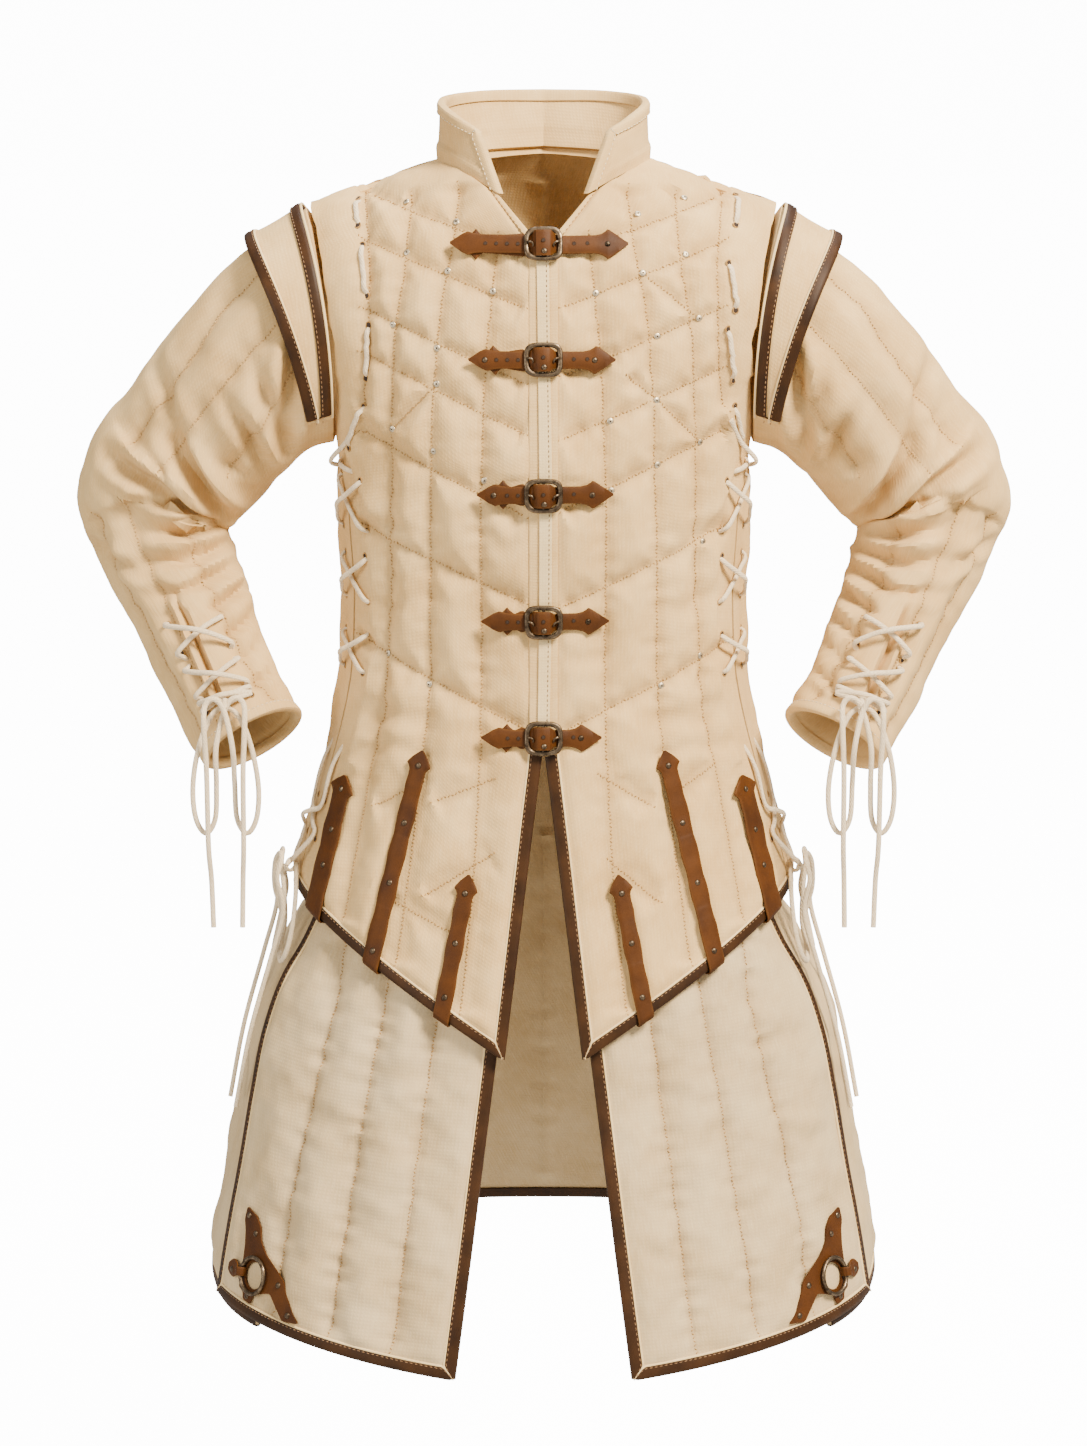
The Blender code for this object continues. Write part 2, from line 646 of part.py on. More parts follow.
def make_sleeves():
    turns = np.arange(SLEEVE_SIDES) / SLEEVE_SIDES * 2 * math.pi
    points = np.array([[sleeve_point(s, a) for a in turns] for s in SLEEVE_STATIONS])
    round_way = np.roll(points, -1, axis=1) - np.roll(points, 1, axis=1)
    normals = unit(np.cross(round_way, np.gradient(points, axis=0)))
    centres = points.mean(axis=1, keepdims=True)
    facing = np.sign(np.sum(normals * (points - centres), axis=-1, keepdims=True))
    normals = normals * facing
    half = np.full(points.shape[:2], HALF_WALL)
    half[-2:, :] = HALF_EDGE
    panel = points, normals, half
    last = len(SLEEVE_STATIONS) - 1
    path = [((last, j), (last - 1, j)) for j in range(SLEEVE_SIDES)]
    for side, one in (("left", panel), ("right", mirror(panel))):
        wall(f"sleeve_{side}", *one, "cloth", closed=True)
        bind_edge(f"cuff_binding_{side}", one, path, "self_binding", 0.7, closed=True)


def wing_panel():
    rows = []
    for angle in np.linspace(-WING_REACH, WING_REACH, WING_ROWS):
        line = []
        for station in np.linspace(0, 3.5, 71):
            point, normal = sleeve_frame(station, angle)
            line.append(point + normal * WING_OFF)
        share = math.cos(angle * (math.pi / 2) / WING_REACH) ** 1.3
        width = WING_MIN + (WING_WIDTH - WING_MIN) * share
        thin = min(EDGE_COLUMN, width * 0.44)
        spots = np.array((0.0, thin, width - thin, width))
        row = resample(line, WING_START + spots)
        lift = WING_TIP_LIFT * max(0.0, math.cos(angle)) * (spots / width) ** 2
        normal = sleeve_frame(1.0, angle)[1]
        rows.append(row + lift[:, None] * normal)
    points = np.array(rows)
    normals = panel_normals(points)
    outward = points - sleeve_ring(1.5)[0]
    if np.sum(normals * outward) < 0:
        normals = -normals
    half = np.full(points.shape[:2], HALF_EDGE)
    return points, normals, half


def make_wings():
    panel = wing_panel()
    rows, columns = panel[0].shape[:2]
    path = [((i, 0), (i, 1)) for i in range(1, rows - 1)]
    path += [((rows - 1, 0), (rows - 2, 1)), ((rows - 1, 3), (rows - 2, 2))]
    path += [((i, columns - 1), (i, columns - 2)) for i in range(rows - 2, 0, -1)]
    path += [((0, 3), (1, 2)), ((0, 0), (1, 1))]
    for side, one in (("left", panel), ("right", mirror(panel))):
        wall(f"wing_{side}", *one, "cloth")
        bind_edge(f"wing_binding_{side}", one, path, "brown_binding", 0.85, closed=True, air=0.0012)


# ---------------------------------------------------------------- lower skirts
def lower_row(inner_z, outer_z, start_angle, end_angle):
    line = []
    for share in np.linspace(0, 1, 60):
        angle = start_angle + (end_angle - start_angle) * share
        z = inner_z + (outer_z - inner_z) * math.sin(angle) / math.sin(end_angle)
        line.append(lower_point(angle, z))
    return line


def lower_front_panel():
    rows = []
    side_z = LOWER_CORNER[1] + LOWER_HEM_RISE * (0.279 - LOWER_CORNER[0])
    heights = [(z, z) for z in LOWER_ROWS]
    heights += [(LOWER_CORNER[1] + up, side_z + up) for up in BOUND_ROWS]
    for inner_z, outer_z in heights:
        x = straight_value(LOWER_INNER, inner_z)
        start = math.asin((x / curve_value(LOWER_RINGS, 1, inner_z)) ** (1 / ROUNDNESS))
        rows.append(spread_row(lower_row(inner_z, outer_z, start, LOWER_SIDE), 3, bound_end=True))
    points = np.array(rows)
    normals = panel_normals(points)
    half = np.full(points.shape[:2], HALF_WALL)
    half[:, :2] = HALF_EDGE
    half[:, -2:] = HALF_EDGE
    half[-2:, :] = HALF_EDGE
    return points, normals, half


def lower_back_panel():
    rows = []
    heights = [(z, z) for z in LOWER_ROWS]
    heights += [(BACK_SKIRT_HEM[0] + up, BACK_SKIRT_HEM[1] + up) for up in BOUND_ROWS]
    for inner_z, outer_z in heights:
        line = []
        for angle in np.linspace(math.pi, BACK_UNDERLAP, 80):
            tuck = min(1.0, max(0.0, (math.radians(106) - angle) / math.radians(28)))
            tuck = tuck * tuck * (3 - 2 * tuck)
            z = inner_z + (outer_z - inner_z) * (1 - abs(math.cos(angle)))
            line.append(lower_point(angle, z, 0.0088 * tuck))
        rows.append(spread_row(line, 6, bound_start=False))
    halves = np.array(rows)
    mirrored = halves[:, :0:-1] * (-1, 1, 1)
    points = np.concatenate([mirrored, halves], axis=1)[:, ::-1]
    normals = panel_normals(points)
    half = np.full(points.shape[:2], HALF_WALL)
    half[-2:, :] = HALF_EDGE
    return points, normals, half


def make_lower_skirts():
    front = lower_front_panel()
    rows, columns = front[0].shape[:2]
    path = [((i, 0), (i, 1)) for i in range(rows - 1)]
    path.append(((rows - 1, 0), (rows - 2, 1)))
    path += [((rows - 1, j), (rows - 2, j)) for j in range(1, columns - 1)]
    path.append(((rows - 1, columns - 1), (rows - 2, columns - 2)))
    path += [((i, columns - 1), (i, columns - 2)) for i in range(rows - 2, -1, -1)]
    for side, panel in (("left", front), ("right", mirror(front))):
        wall(f"skirt_front_{side}", *panel, "lower_cloth")
        bind_edge(f"skirt_front_binding_{side}", panel, path, "brown_binding")
    back = lower_back_panel()
    last, columns = back[0].shape[0] - 1, back[0].shape[1]
    wall("skirt_back", *back, "lower_cloth")
    bind_edge("skirt_back_binding", back, [((last, j), (last - 1, j)) for j in range(columns)],
              "brown_binding")


# ---------------------------------------------------------------- straps and buckles
def ribbon(name, stations, place, kind="strap"):
    """A leather strip along (s, height, half width, thickness) stations, put down by place."""
    flat = np.array([(s, h) for s, h, _, _ in stations])
    way = unit(np.gradient(flat, axis=0))
    sections = []
    for (s, h, half, thick), (ds, dh) in zip(stations, way):
        side_s = -dh * thick / 2
        side_h = ds * thick / 2
        sections.append([place(s + k * side_s, v, h + k * side_h)
                         for k, v in ((1, half), (1, -half), (-1, -half), (-1, half))])
    return sweep(name, sections, ((0, 1, 2, 3),), kind)


def closure_place(z):
    def place(x, v, h):
        angle = math.copysign(body_angle(x, z), x)
        point, normal = surface_frame(body_point, angle, z + v)
        return point + normal * h
    return place


def tongue_stations(reach_left, reach_right):
    low = HALF_WALL + LIFT + STRAP / 2
    high = low + STRAP + GAP
    w = STRAP_HALF
    bend = ((0.0125, 0.0059), (0.0085, 0.0083), (0.0050, 0.0122), (0.0, 0.0131),
            (-0.0050, 0.0122), (-0.0075, 0.0094), (-0.0113, high), (-0.0180, high))
    rows = [(reach_left, low, 0.0012), (reach_left - 0.008, low, 0.0062),
            (reach_left - 0.0165, low, 0.0112), (reach_left - 0.023, low, 0.0078),
            (reach_left - 0.029, low, w), (0.0185, low, w)]
    rows += [(x, h, w) for x, h in bend]
    rows += [(-reach_right + 0.021, high, w + 0.0004), (-reach_right + 0.014, high, 0.0085),
             (-reach_right + 0.007, high, 0.0055), (-reach_right, high, 0.0012)]
    return [(x, h, half, STRAP) for x, h, half in rows]


def anchor_stations(reach_right):
    low = HALF_WALL + LIFT + STRAP / 2
    tip = -reach_right + 0.009
    waist = 0.0058
    rows = [(tip, low, 0.0012, STRAP), (tip + 0.006, low, 0.0065, STRAP),
            (tip + 0.011, low, 0.0118, STRAP), (tip + 0.016, low, waist, STRAP),
            (-0.016, low, 0.0085, STRAP), (-0.0090, low + 0.0002, waist, STRAP),
            (-0.0050, 0.0062, waist, 0.0012)]
    for degrees in (180, 130, 90, 50, 0, -45, -80):
        turn = math.radians(degrees)
        rows.append((0.0022 * math.cos(turn), BUCKLE["height"] + 0.0022 * math.sin(turn), waist, 0.001))
    return rows


def buckle(name, z):
    """A rounded frame with a middle bar."""
    centre, normal = surface_frame(body_point, 0.0, z)
    up = unit(np.array((0.0, normal[2], -normal[1])))
    if up[2] < 0:
        up = -up
    centre = centre + normal * BUCKLE["height"]
    right = np.array((1.0, 0.0, 0.0))
    sections = []
    deep = BUCKLE["depth"] / 2
    for turn in np.arange(16) / 16 * 2 * math.pi:
        cosine, sine = math.cos(turn), math.sin(turn)
        ring = []
        for inset, height in ((0.0, 0.0), (0.0009, deep), (BUCKLE["bar"] - 0.0009, deep),
                              (BUCKLE["bar"], 0.0), (BUCKLE["bar"] - 0.0009, -deep), (0.0009, -deep)):
            a = math.copysign((BUCKLE["half_width"] - inset) * abs(cosine) ** 0.62, cosine)
            b = math.copysign((BUCKLE["half_height"] - inset) * abs(sine) ** 0.62, sine)
            ring.append(centre + right * a + up * b + normal * height)
        sections.append(ring)
    frame = sweep(name, sections, (), "bronze", closed=True)
    reach = BUCKLE["half_height"] - BUCKLE["bar"] / 2
    bar_sections = []
    for v in (-reach, reach):
        bar_sections.append([centre + up * v + (right * math.cos(t) + normal * math.sin(t))
                             * BUCKLE["pin_radius"] for t in np.arange(6) / 6 * 2 * math.pi])
    bar = sweep(name + "_bar_cutter", bar_sections, ((0, 1, 2, 3, 4, 5),), "bronze")
    bar.hide_render = True
    bar.display_type = "WIRE"
    join = frame.modifiers.new("middle bar", "BOOLEAN")
    join.operation = "UNION"
    join.solver = "EXACT"
    join.object = bar


def make_closures():
    for number, (z, right, left) in enumerate(CLOSURES, 1):
        place = closure_place(z)
        ribbon(f"tongue_{number}", tongue_stations(left, right), place)
        ribbon(f"anchor_{number}", anchor_stations(right), place)
        buckle(f"buckle_{number}", z)


def skirt_strap_place(tip_x, tip_z, hem_x, sign):
    """s runs down the strap from its tip, v across it and h out of the cloth."""
    hem_z = front_hem(hem_x)
    length = math.hypot(hem_x - tip_x, hem_z - tip_z)
    along = ((hem_x - tip_x) / length, (hem_z - tip_z) / length)
    skew = (FRONT_HEM_RISE * along[1] + along[0]) / (FRONT_HEM_RISE * along[0] - along[1])

    def place(s, v, h):
        near = min(1.0, max(0.0, (s - (length - 0.030)) / 0.030))
        s = s + skew * v * near
        x = tip_x + along[0] * s - along[1] * v
        z = tip_z + along[1] * s + along[0] * v
        point, normal = surface_frame(body_point, body_angle(x, z), z)
        return (point + normal * h) * (sign, 1, 1)
    return place, length


def skirt_strap_stations(length, under):
    top = HALF_WALL + 0.0016 + STRAP / 2
    w = 0.0070
    rows = [(0.0, top, 0.0012, STRAP), (0.006, top, 0.0060, STRAP), (0.0125, top, 0.0098, STRAP),
            (0.019, top, 0.0070, STRAP), (0.028, top, w, STRAP)]
    middle = max(2, round((length - 0.05) / 0.03))
    for step in range(1, middle):
        rows.append((0.028 + (length - 0.050) * step / middle, top, w + 0.0006 * (-1) ** step, STRAP))
    rows += [(length - 0.012, top, w, STRAP), (length + 0.0020, top, w, STRAP),
             (length + 0.0038, 0.0030, w, 0.0014), (length + 0.0038, -0.0030, w, 0.0014),
             (length + 0.0020, -under, w, 0.0014), (length - 0.006, -under, w, 0.0014)]
    return rows


def make_skirt_straps():
    for word, tip_x, tip_z, hem_x, under in SKIRT_STRAPS:
        for side, sign in (("left", 1), ("right", -1)):
            place, length = skirt_strap_place(tip_x, tip_z, hem_x, sign)
            ribbon(f"skirt_strap_{word}_{side}", skirt_strap_stations(length, under), place)


# ---------------------------------------------------------------- corner plates and rings
def corner_place(sign):
    """u runs along the cloth towards the front edge, v up it and h out of it."""
    angle, z = RING_PLACE
    step = 0.01
    along = length_of([lower_point(angle - step, z), lower_point(angle + step, z)]) / (2 * step)

    def place(u, v, h):
        turn = angle - u / along
        point, normal = surface_frame(lower_point, turn, z + v * 0.965 + u * 0.10)
        return (point + normal * h) * (sign, 1, 1)
    return place


def corner_plate(name, place):
    hole = [(PLATE_HOLE * math.cos(t), PLATE_HOLE * math.sin(t))
            for t in np.arange(14) / 14 * 2 * math.pi]
    flat = [Vector(p) for p in list(PLATE) + hole]
    rim = len(PLATE)
    edges = [(i, (i + 1) % rim) for i in range(rim)]
    edges += [(rim + i, rim + (i + 1) % 14) for i in range(14)]
    verts, _, faces, _, _, _ = delaunay_2d_cdt(flat, edges, [], 1, 1e-7)
    kept = [f for f in faces if (sum((verts[i] for i in f), Vector((0, 0))) / 3).length > PLATE_HOLE * 0.9]
    count = len(verts)
    points = [place(v.x, v.y, PLATE_HEIGHT + PLATE_THICK) for v in verts]
    points += [place(v.x, v.y, PLATE_HEIGHT) for v in verts]
    solid = [tuple(f) for f in kept] + [tuple(count + i for i in reversed(f)) for f in kept]
    used = {}
    for f in kept:
        for a, b in zip(f, f[1:] + f[:1]):
            used[(a, b)] = True
    solid += [(b, a, count + a, count + b) for a, b in used if (b, a) not in used]
    add_mesh(name, points, solid, "strap")


def corner_tab(name, place):
    """A short strap that folds round the ring's outer side."""
    low = PLATE_HEIGHT + PLATE_THICK + 0.0004 + 0.0006
    axis = -RING["radius"]
    centre = RING["height"]
    rows = [(-0.040, PLATE_HEIGHT + 0.0007, 0.0030, 0.0014), (-0.033, PLATE_HEIGHT + 0.0007, 0.0075, 0.0014),
            (-0.026, low - 0.0008, 0.0068, 0.0012), (-0.0215, low + 0.0010, 0.0045, 0.0012)]
    for degrees in (150, 115, 80, 45, 10, -30):
        turn = math.radians(degrees)
        rows.append((axis + 0.0041 * math.cos(turn), centre + 0.0041 * math.sin(turn), 0.0038, 0.0010))

    def level(u, v, h):
        return place(u, v + TAB_RAISE, h)
    ribbon(name, rows, level)


def corner_ring(name, place, sign):
    centre = place(0, 0, RING["height"])
    out = unit(place(0, 0, 0.02) - place(0, 0, 0))
    up = place(0, 0.01, RING["height"]) - place(0, -0.01, RING["height"])
    up = unit(up - out * np.dot(up, out))
    inward = unit(np.cross(out, up)) * sign
    hinge = centre - inward * RING["radius"]
    sections = []
    for turn in np.arange(20) / 20 * 2 * math.pi:
        radial = inward * math.cos(turn) + up * math.sin(turn)
        sections.append([centre - hinge + radial * (RING["radius"] + RING["wire"] * math.cos(t))
                         + out * RING["wire"] * math.sin(t) for t in np.arange(6) / 6 * 2 * math.pi])
    ring = sweep(name, sections, (), "bronze", closed=True)
    ring.location = Vector(hinge)
    return hinge, up


def make_corners():
    for side, sign in (("left", 1), ("right", -1)):
        place = corner_place(sign)
        corner_plate(f"corner_plate_{side}", place)
        corner_tab(f"corner_tab_{side}", place)
        hinge, up = corner_ring(f"corner_ring_{side}", place, sign)
        print("hinge", side, [round(float(v), 5) for v in hinge], [round(float(v), 5) for v in up])


# ---------------------------------------------------------------- laces
def lace(name, route, pins):
    """A soft cord; pins are the places of the route that keep a point of their own."""
    line = spline(route, 10)
    points = line[:1]
    for start, end in zip([0, *pins], [*pins, len(route) - 1]):
        piece = line[start * 10:end * 10 + 1]
        steps = max(1, round(length_of(piece) / LACE_STEP))
        points = np.concatenate([points, resample(piece, np.linspace(0, length_of(piece), steps + 1))[1:]])
    curve = bpy.data.curves.new(name, "CURVE")
    curve.dimensions = "3D"
    curve.bevel_depth = LACE / 2
    curve.bevel_resolution = 2
    curve.use_fill_caps = True
    strand = curve.splines.new("POLY")
    strand.points.add(len(points) - 1)
    for spot, point in zip(strand.points, points):
        spot.co = (*point, 1.0)
    own = material("lace").copy()
    own.name = name
    curve.materials.append(own)
    made = bpy.data.objects.new(name, curve)
    bpy.context.scene.collection.objects.link(made)
    print("lace", name, round(length_of(points), 4), len(points))


def bow_route(turn, drop, tail, low):
    """Half a bow in flat places: a loop on one side and an end that hangs on the other."""
    first = low if turn > 0 else low + LACE_LEVEL
    high = first + 2 * LACE_LEVEL
    rows = [(0.010, 0.006, first), (0.0, 0.0, first), (-0.012, -0.009, first), (-0.022, -0.33 * drop, low),
            (-0.027, -0.63 * drop, low), (-0.025, -0.88 * drop, low), (-0.017, -drop, low),
            (-0.009, -0.88 * drop, low), (-0.0075, -0.6 * drop, low),
            (-0.007, -0.3 * drop, first + LACE_LEVEL), (0.0, -0.002, high), (0.008, 0.008, high),
            (0.0155, 0.003, high), (0.0165, -0.012, high), (0.015, -0.5 * drop, low + LACE_LEVEL),
            (0.0145, -1.08 * drop, low + LACE_LEVEL), (0.013, -(drop + tail) / 2, low),
            (0.012, -tail, low)]
    return [(u * turn, v, h) for u, v, h in rows]


def crossing_height(number, first, low):
    """The laces take turns to lie on top."""
    over = (number % 2 == 0) == (first < 0)
    return low + (LACE_LEVEL * 1.5 if over else 0.0)


def side_lace_route(first, sign):
    """Zigzag down the side opening; first is -1 from the front edge and +1 from the back."""
    start = SIDE_TOP["front" if first < 0 else "back"]
    route = [(degrees, z, LACE_LOW) for degrees, z in start]
    if first < 0:
        route[2] = (*start[2], crossing_height(0, first, LACE_LOW))
    edge = -first
    pins = [2 if first < 0 else 1]
    for number, (top, foot, middle, spread) in enumerate(SIDE_CROSSES, 1):
        pins.append(len(route) + 2)
        crossing = crossing_height(number, first, LACE_LOW)
        for share in (0.0, 0.3, 0.5, 0.7, 1.0):
            h = crossing if share == 0.5 else (LACE_LOW + (crossing - LACE_LOW) * 0.6 if 0 < share < 1
                                               else LACE_LOW)
            route.append((middle + spread * edge * (1 - 2 * share), top + (foot - top) * share, h))
        edge = -edge
        if number == 3:
            route += [(degrees + spread * edge, z, LACE_LOW) for z, degrees, spread in SIDE_RUN]
    pins.append(len(route) - 1)
    points = []
    for degrees, z, h in route:
        point, normal = surface_frame(body_point, math.radians(degrees), z)
        points.append(point + normal * h)
    angle, z = SIDE_KNOT
    along = length_of([outer_point(angle - 0.01, z), outer_point(angle + 0.01, z)]) / 0.02
    for u, v, h in bow_route(edge, *SIDE_BOW, LACE_LOW + 0.0015):
        point, normal = surface_frame(outer_point, angle + u / along, z + v)
        points.append(point + normal * h)
    return [p * (sign, 1, 1) for p in points], pins


def cuff_lace_route(first, sign):
    """Down the cuff's slit from the middle of its top loop, then half a bow."""
    middle = math.pi / 2
    edge = first
    route = [(CUFF_LOOP, middle + 0.055 * edge, CUFF_LOW),
             (CUFF_LOOP + 0.05, middle + CUFF_SPREAD * 0.55 * edge, CUFF_LOW)]
    pins = []
    for number, (top, foot) in enumerate(CUFF_CROSSES):
        pins.append(len(route) + 2)
        crossing = crossing_height(number, first, CUFF_LOW)
        for share in (0.0, 0.25, 0.5, 0.75, 1.0):
            h = CUFF_LOW + (crossing - CUFF_LOW) * (0.0, 0.55, 1.0, 0.55, 0.0)[round(share * 4)]
            route.append((top + (foot - top) * share, middle + CUFF_SPREAD * edge * (1 - 2 * share), h))
        edge = -edge
    pins.append(len(route) - 1)
    points = []
    for station, angle, h in route:
        point, normal = sleeve_frame(station, angle)
        points.append(point + normal * h)
    knot, normal = sleeve_frame(CUFF_KNOT, middle)
    knot = knot + normal * (CUFF_LOW + 0.0015)
    for u, v, h in bow_route(edge, *CUFF_BOW, 0.0):
        forward = h + CUFF_HANG * min(1.0, max(0.0, -v / 0.035))
        points.append(knot + np.array((-u, -forward, v)))
    return [p * (sign, 1, 1) for p in points], pins


def make_laces():
    for side, sign in (("left", 1), ("right", -1)):
        for word, first in (("a", -1), ("b", 1)):
            lace(f"side_lace_{word}_{side}", *side_lace_route(first, sign))
            lace(f"cuff_lace_{word}_{side}", *cuff_lace_route(first, sign))


make_coat()
make_collar()
make_sleeves()
make_wings()
make_lower_skirts()
make_closures()
make_skirt_straps()
make_corners()
make_laces()
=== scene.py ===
import math
from functools import partial

import bmesh
import bpy
import numpy as np
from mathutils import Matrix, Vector
from mathutils.geometry import delaunay_2d_cdt
from mathutils.kdtree import KDTree


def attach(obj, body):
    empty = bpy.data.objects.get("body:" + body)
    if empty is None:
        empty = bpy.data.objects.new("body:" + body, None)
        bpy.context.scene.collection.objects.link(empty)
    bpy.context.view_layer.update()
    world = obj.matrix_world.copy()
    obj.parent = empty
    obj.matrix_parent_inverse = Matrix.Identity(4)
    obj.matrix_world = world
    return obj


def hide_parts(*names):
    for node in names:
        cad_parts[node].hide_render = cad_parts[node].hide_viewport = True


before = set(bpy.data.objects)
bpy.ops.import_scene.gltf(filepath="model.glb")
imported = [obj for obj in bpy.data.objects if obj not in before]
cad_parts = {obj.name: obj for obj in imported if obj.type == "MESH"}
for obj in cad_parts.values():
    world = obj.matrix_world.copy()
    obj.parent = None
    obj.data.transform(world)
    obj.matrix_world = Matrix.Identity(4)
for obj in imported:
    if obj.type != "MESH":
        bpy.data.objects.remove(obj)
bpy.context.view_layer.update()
scene = bpy.context.scene
bothSides = (("left", 1), ("right", -1))
print("frame loaded")

# the whole coat in metres, +Z up, the front facing -Y and the wearer's left at +X
camera = {"place": (0.0, -3.0, 0.12), "tilt": 78.69, "lens": 89.63}


def newObject(name, data):
    piece = bpy.data.objects.new(name, data)
    scene.collection.objects.link(piece)
    return piece


scene.camera = newObject("camera", bpy.data.cameras.new("camera"))
scene.camera.data.lens = camera["lens"]
scene.camera.location = camera["place"]
scene.camera.rotation_euler = (math.radians(camera["tilt"]), 0.0, 0.0)

cloth = {
    "halfWall": 0.003,      # half of the quilt's thickness
    "halfEdge": 0.0018,     # the same where a binding presses it
    "stitch": 0.0031,       # length of a quilting stitch from hole to hole
    "roundness": 0.9,
}
leather = {
    "thick": 0.0016,        # of the straps
    "lift": 0.001,          # of an under strap over the quilt
    "half": 0.0069,         # half width of a tongue strap
    "gap": 0.0004,          # between an under strap and a tongue
    "overlap": 0.0003,      # between the two layers of a tongue
    "hemLift": 0.0016,      # of a hem strap over the quilt
}
laces = {
    "thick": 0.0045,        # width of the flat lace
    "flat": 0.36,           # share of the width that is half of its depth
    "low": 0.0062,          # height of a lace over the middle of the quilt
    "level": 0.0058,        # rise where one lace crosses another
    "knot": 0.0015,         # extra height under a bow
}

shoulderBase = -0.14
neckHalf = 0.085
neckSide = -0.011
shoulderEnd = 0.187
shoulderSlope = 0.333
neckTop = (0.0345, -0.034)
neckBottom = -0.071
frontGap = 0.0028
splitTop = -0.4815
frontCorner = (0.033, -0.7241)
hemRise = 0.644


def mm(table):    # the tables are in millimetres and the scene is in metres
    if isinstance(table, dict):
        return {key: mm(value) for key, value in table.items()}
    if isinstance(table, tuple):
        return tuple(mm(value) for value in table)
    return table if isinstance(table, str) else table / 1000


# z, half width, depth in front, depth behind
bodyRings = mm((
    (20, 200, 108, 112), (-140, 200, 113, 116), (-190, 182, 122, 116), (-235, 170, 127, 112),
    (-300, 167.5, 126, 105), (-360, 164.8, 122, 99), (-440, 169, 124, 104), (-530, 187.5, 137, 124),
    (-586, 203.5, 148, 139), (-650, 218.5, 162, 152), (-750, 240, 181, 168)))
skirtRings = mm((
    (-500, 170, 122, 108), (-560, 184, 134, 124), (-623, 197, 145.5, 137), (-655, 212, 151.2, 145),
    (-684, 230, 158, 152), (-730, 248, 166, 162), (-780, 259, 178, 174), (-840, 270, 195, 189),
    (-900, 282, 212, 205), (-940, 289, 224, 215), (-985, 296, 235, 225)))
# z, degrees round from the front centre
armhole = (
    (-0.045, 68.1), (-0.062, 61.5), (-0.088, 57.2), (-0.118, 55.5), (-0.15, 56.5),
    (-0.18, 63.0), (-0.208, 71.0), (-0.226, 81.0), (-0.2365, 90.0),
)
sideOpening = (
    (-0.2365, 90.0), (-0.26, 77.0), (-0.29, 69.0), (-0.36, 68.0), (-0.43, 69.0),
    (-0.5, 74.0), (-0.56, 77.0), (-0.64, 78.0),
)
# z at the front edge or centre back, and z at the side
frontRows = mm((
    (-140, -140), (-170, -172), (-200, -203), (-225, -226), (-245, -236.5), (-270, -262), (-310, -300),
    (-355, -345), (-400, -385), (-440, -420), (-481.5, -455), (-530, -490), (-590, -525), (-650, -560),
    (-724.1, -613.1)))
backRows = mm((
    (-140, -140), (-170, -172), (-200, -203), (-225, -226), (-240, -236.5), (-268, -262), (-310, -300),
    (-355, -350), (-410, -405), (-460, -455), (-505, -490), (-550, -525), (-595, -560), (-650, -612.7)))
# outer x, outer z, inner x, inner z, y, depth, bow
sleeveRings = mm((
    (193, -46.5, 176.5, -237.5, 0, 133, 9), (225, -71, 200, -245, 0, 143, 0),
    (269, -106, 226, -268, 9, 148, 0), (309, -153, 247, -292, 24, 143, 0),
    (345, -199, 261, -305, 34, 138, 0), (370, -226, 268, -310, 38, 134, 0),
    (388, -265, 270, -314.5, 40, 130, 0), (393, -292, 270, -320, 37, 128, 0),
    (387, -318, 267, -330, 31, 122, 0), (366, -360, 257, -358, 16, 112, 0),
    (343, -401, 244, -392, -2, 102, 0), (304, -469, 217, -444, -36, 92, 0),
    (282, -507, 204, -457, -52, 92, 0)))


def fromTable(table, column, at):    # a smooth value from a table whose first column falls
    data = np.array(table, float)[::-1]
    keys, values = data[:, 0], data[:, column]
    slopes = np.gradient(values, keys)
    at = np.clip(at, keys[0], keys[-1])
    i = np.clip(np.searchsorted(keys, at) - 1, 0, len(keys) - 2)
    span = keys[i + 1] - keys[i]
    t = (at - keys[i]) / span
    return ((2 * t**3 - 3 * t**2 + 1) * values[i] + (t**3 - 2 * t**2 + t) * span * slopes[i]
            + (3 * t**2 - 2 * t**3) * values[i + 1] + (t**3 - t**2) * span * slopes[i + 1])


def straight(table, at, column=1):
    return np.interp(at, [row[0] for row in table][::-1], [row[column] for row in table][::-1])


def smooth(low, high, at):
    t = np.clip((np.asarray(at, float) - low) / (high - low), 0.0, 1.0)
    return t * t * (3 - 2 * t)


def unit(vectors):
    return vectors / np.maximum(np.linalg.norm(vectors, axis=-1, keepdims=True), 1e-12)


def between(a, b, c, d, t):    # the point at share t from b to c on a smooth curve
    return 0.5 * (2 * b + (c - a) * t + (2 * a - 5 * b + 4 * c - d) * t**2
                  + (3 * b - a - 3 * c + d) * t**3)


def curveThrough(points, samples):    # a smooth curve with the same number of points in each stretch
    p = np.array(points, float)
    p = np.vstack([2 * p[0] - p[1], p, 2 * p[-1] - p[-2]])
    out = [between(*p[i:i + 4], t) for i in range(len(p) - 3) for t in np.arange(samples) / samples]
    return np.array(out + [p[-2]])


def lengthsAlong(line):
    return np.concatenate([[0.0], np.cumsum(np.linalg.norm(np.diff(line, axis=0), axis=1))])


def respaced(line, distances):
    line = np.array(line, float)
    along = lengthsAlong(line)
    return np.stack([np.interp(distances, along, line[:, k]) for k in range(line.shape[1])], axis=1)


def evenly(line, step):
    total = lengthsAlong(np.array(line, float))[-1]
    return respaced(line, np.linspace(0, total, max(2, int(round(total / step)) + 1)))


def ringPoint(angle, z, rings, inset=0.0):
    half = fromTable(rings, 1, z) - inset
    depth = np.where(np.cos(angle) > 0, fromTable(rings, 2, z), fromTable(rings, 3, z)) - inset
    x = half * np.sign(np.sin(angle)) * np.abs(np.sin(angle)) ** cloth["roundness"]
    y = -depth * np.sign(np.cos(angle)) * np.abs(np.cos(angle)) ** cloth["roundness"]
    return x, y


def shoulderHeight(x):
    return neckSide - shoulderSlope * (np.abs(x) - neckHalf)


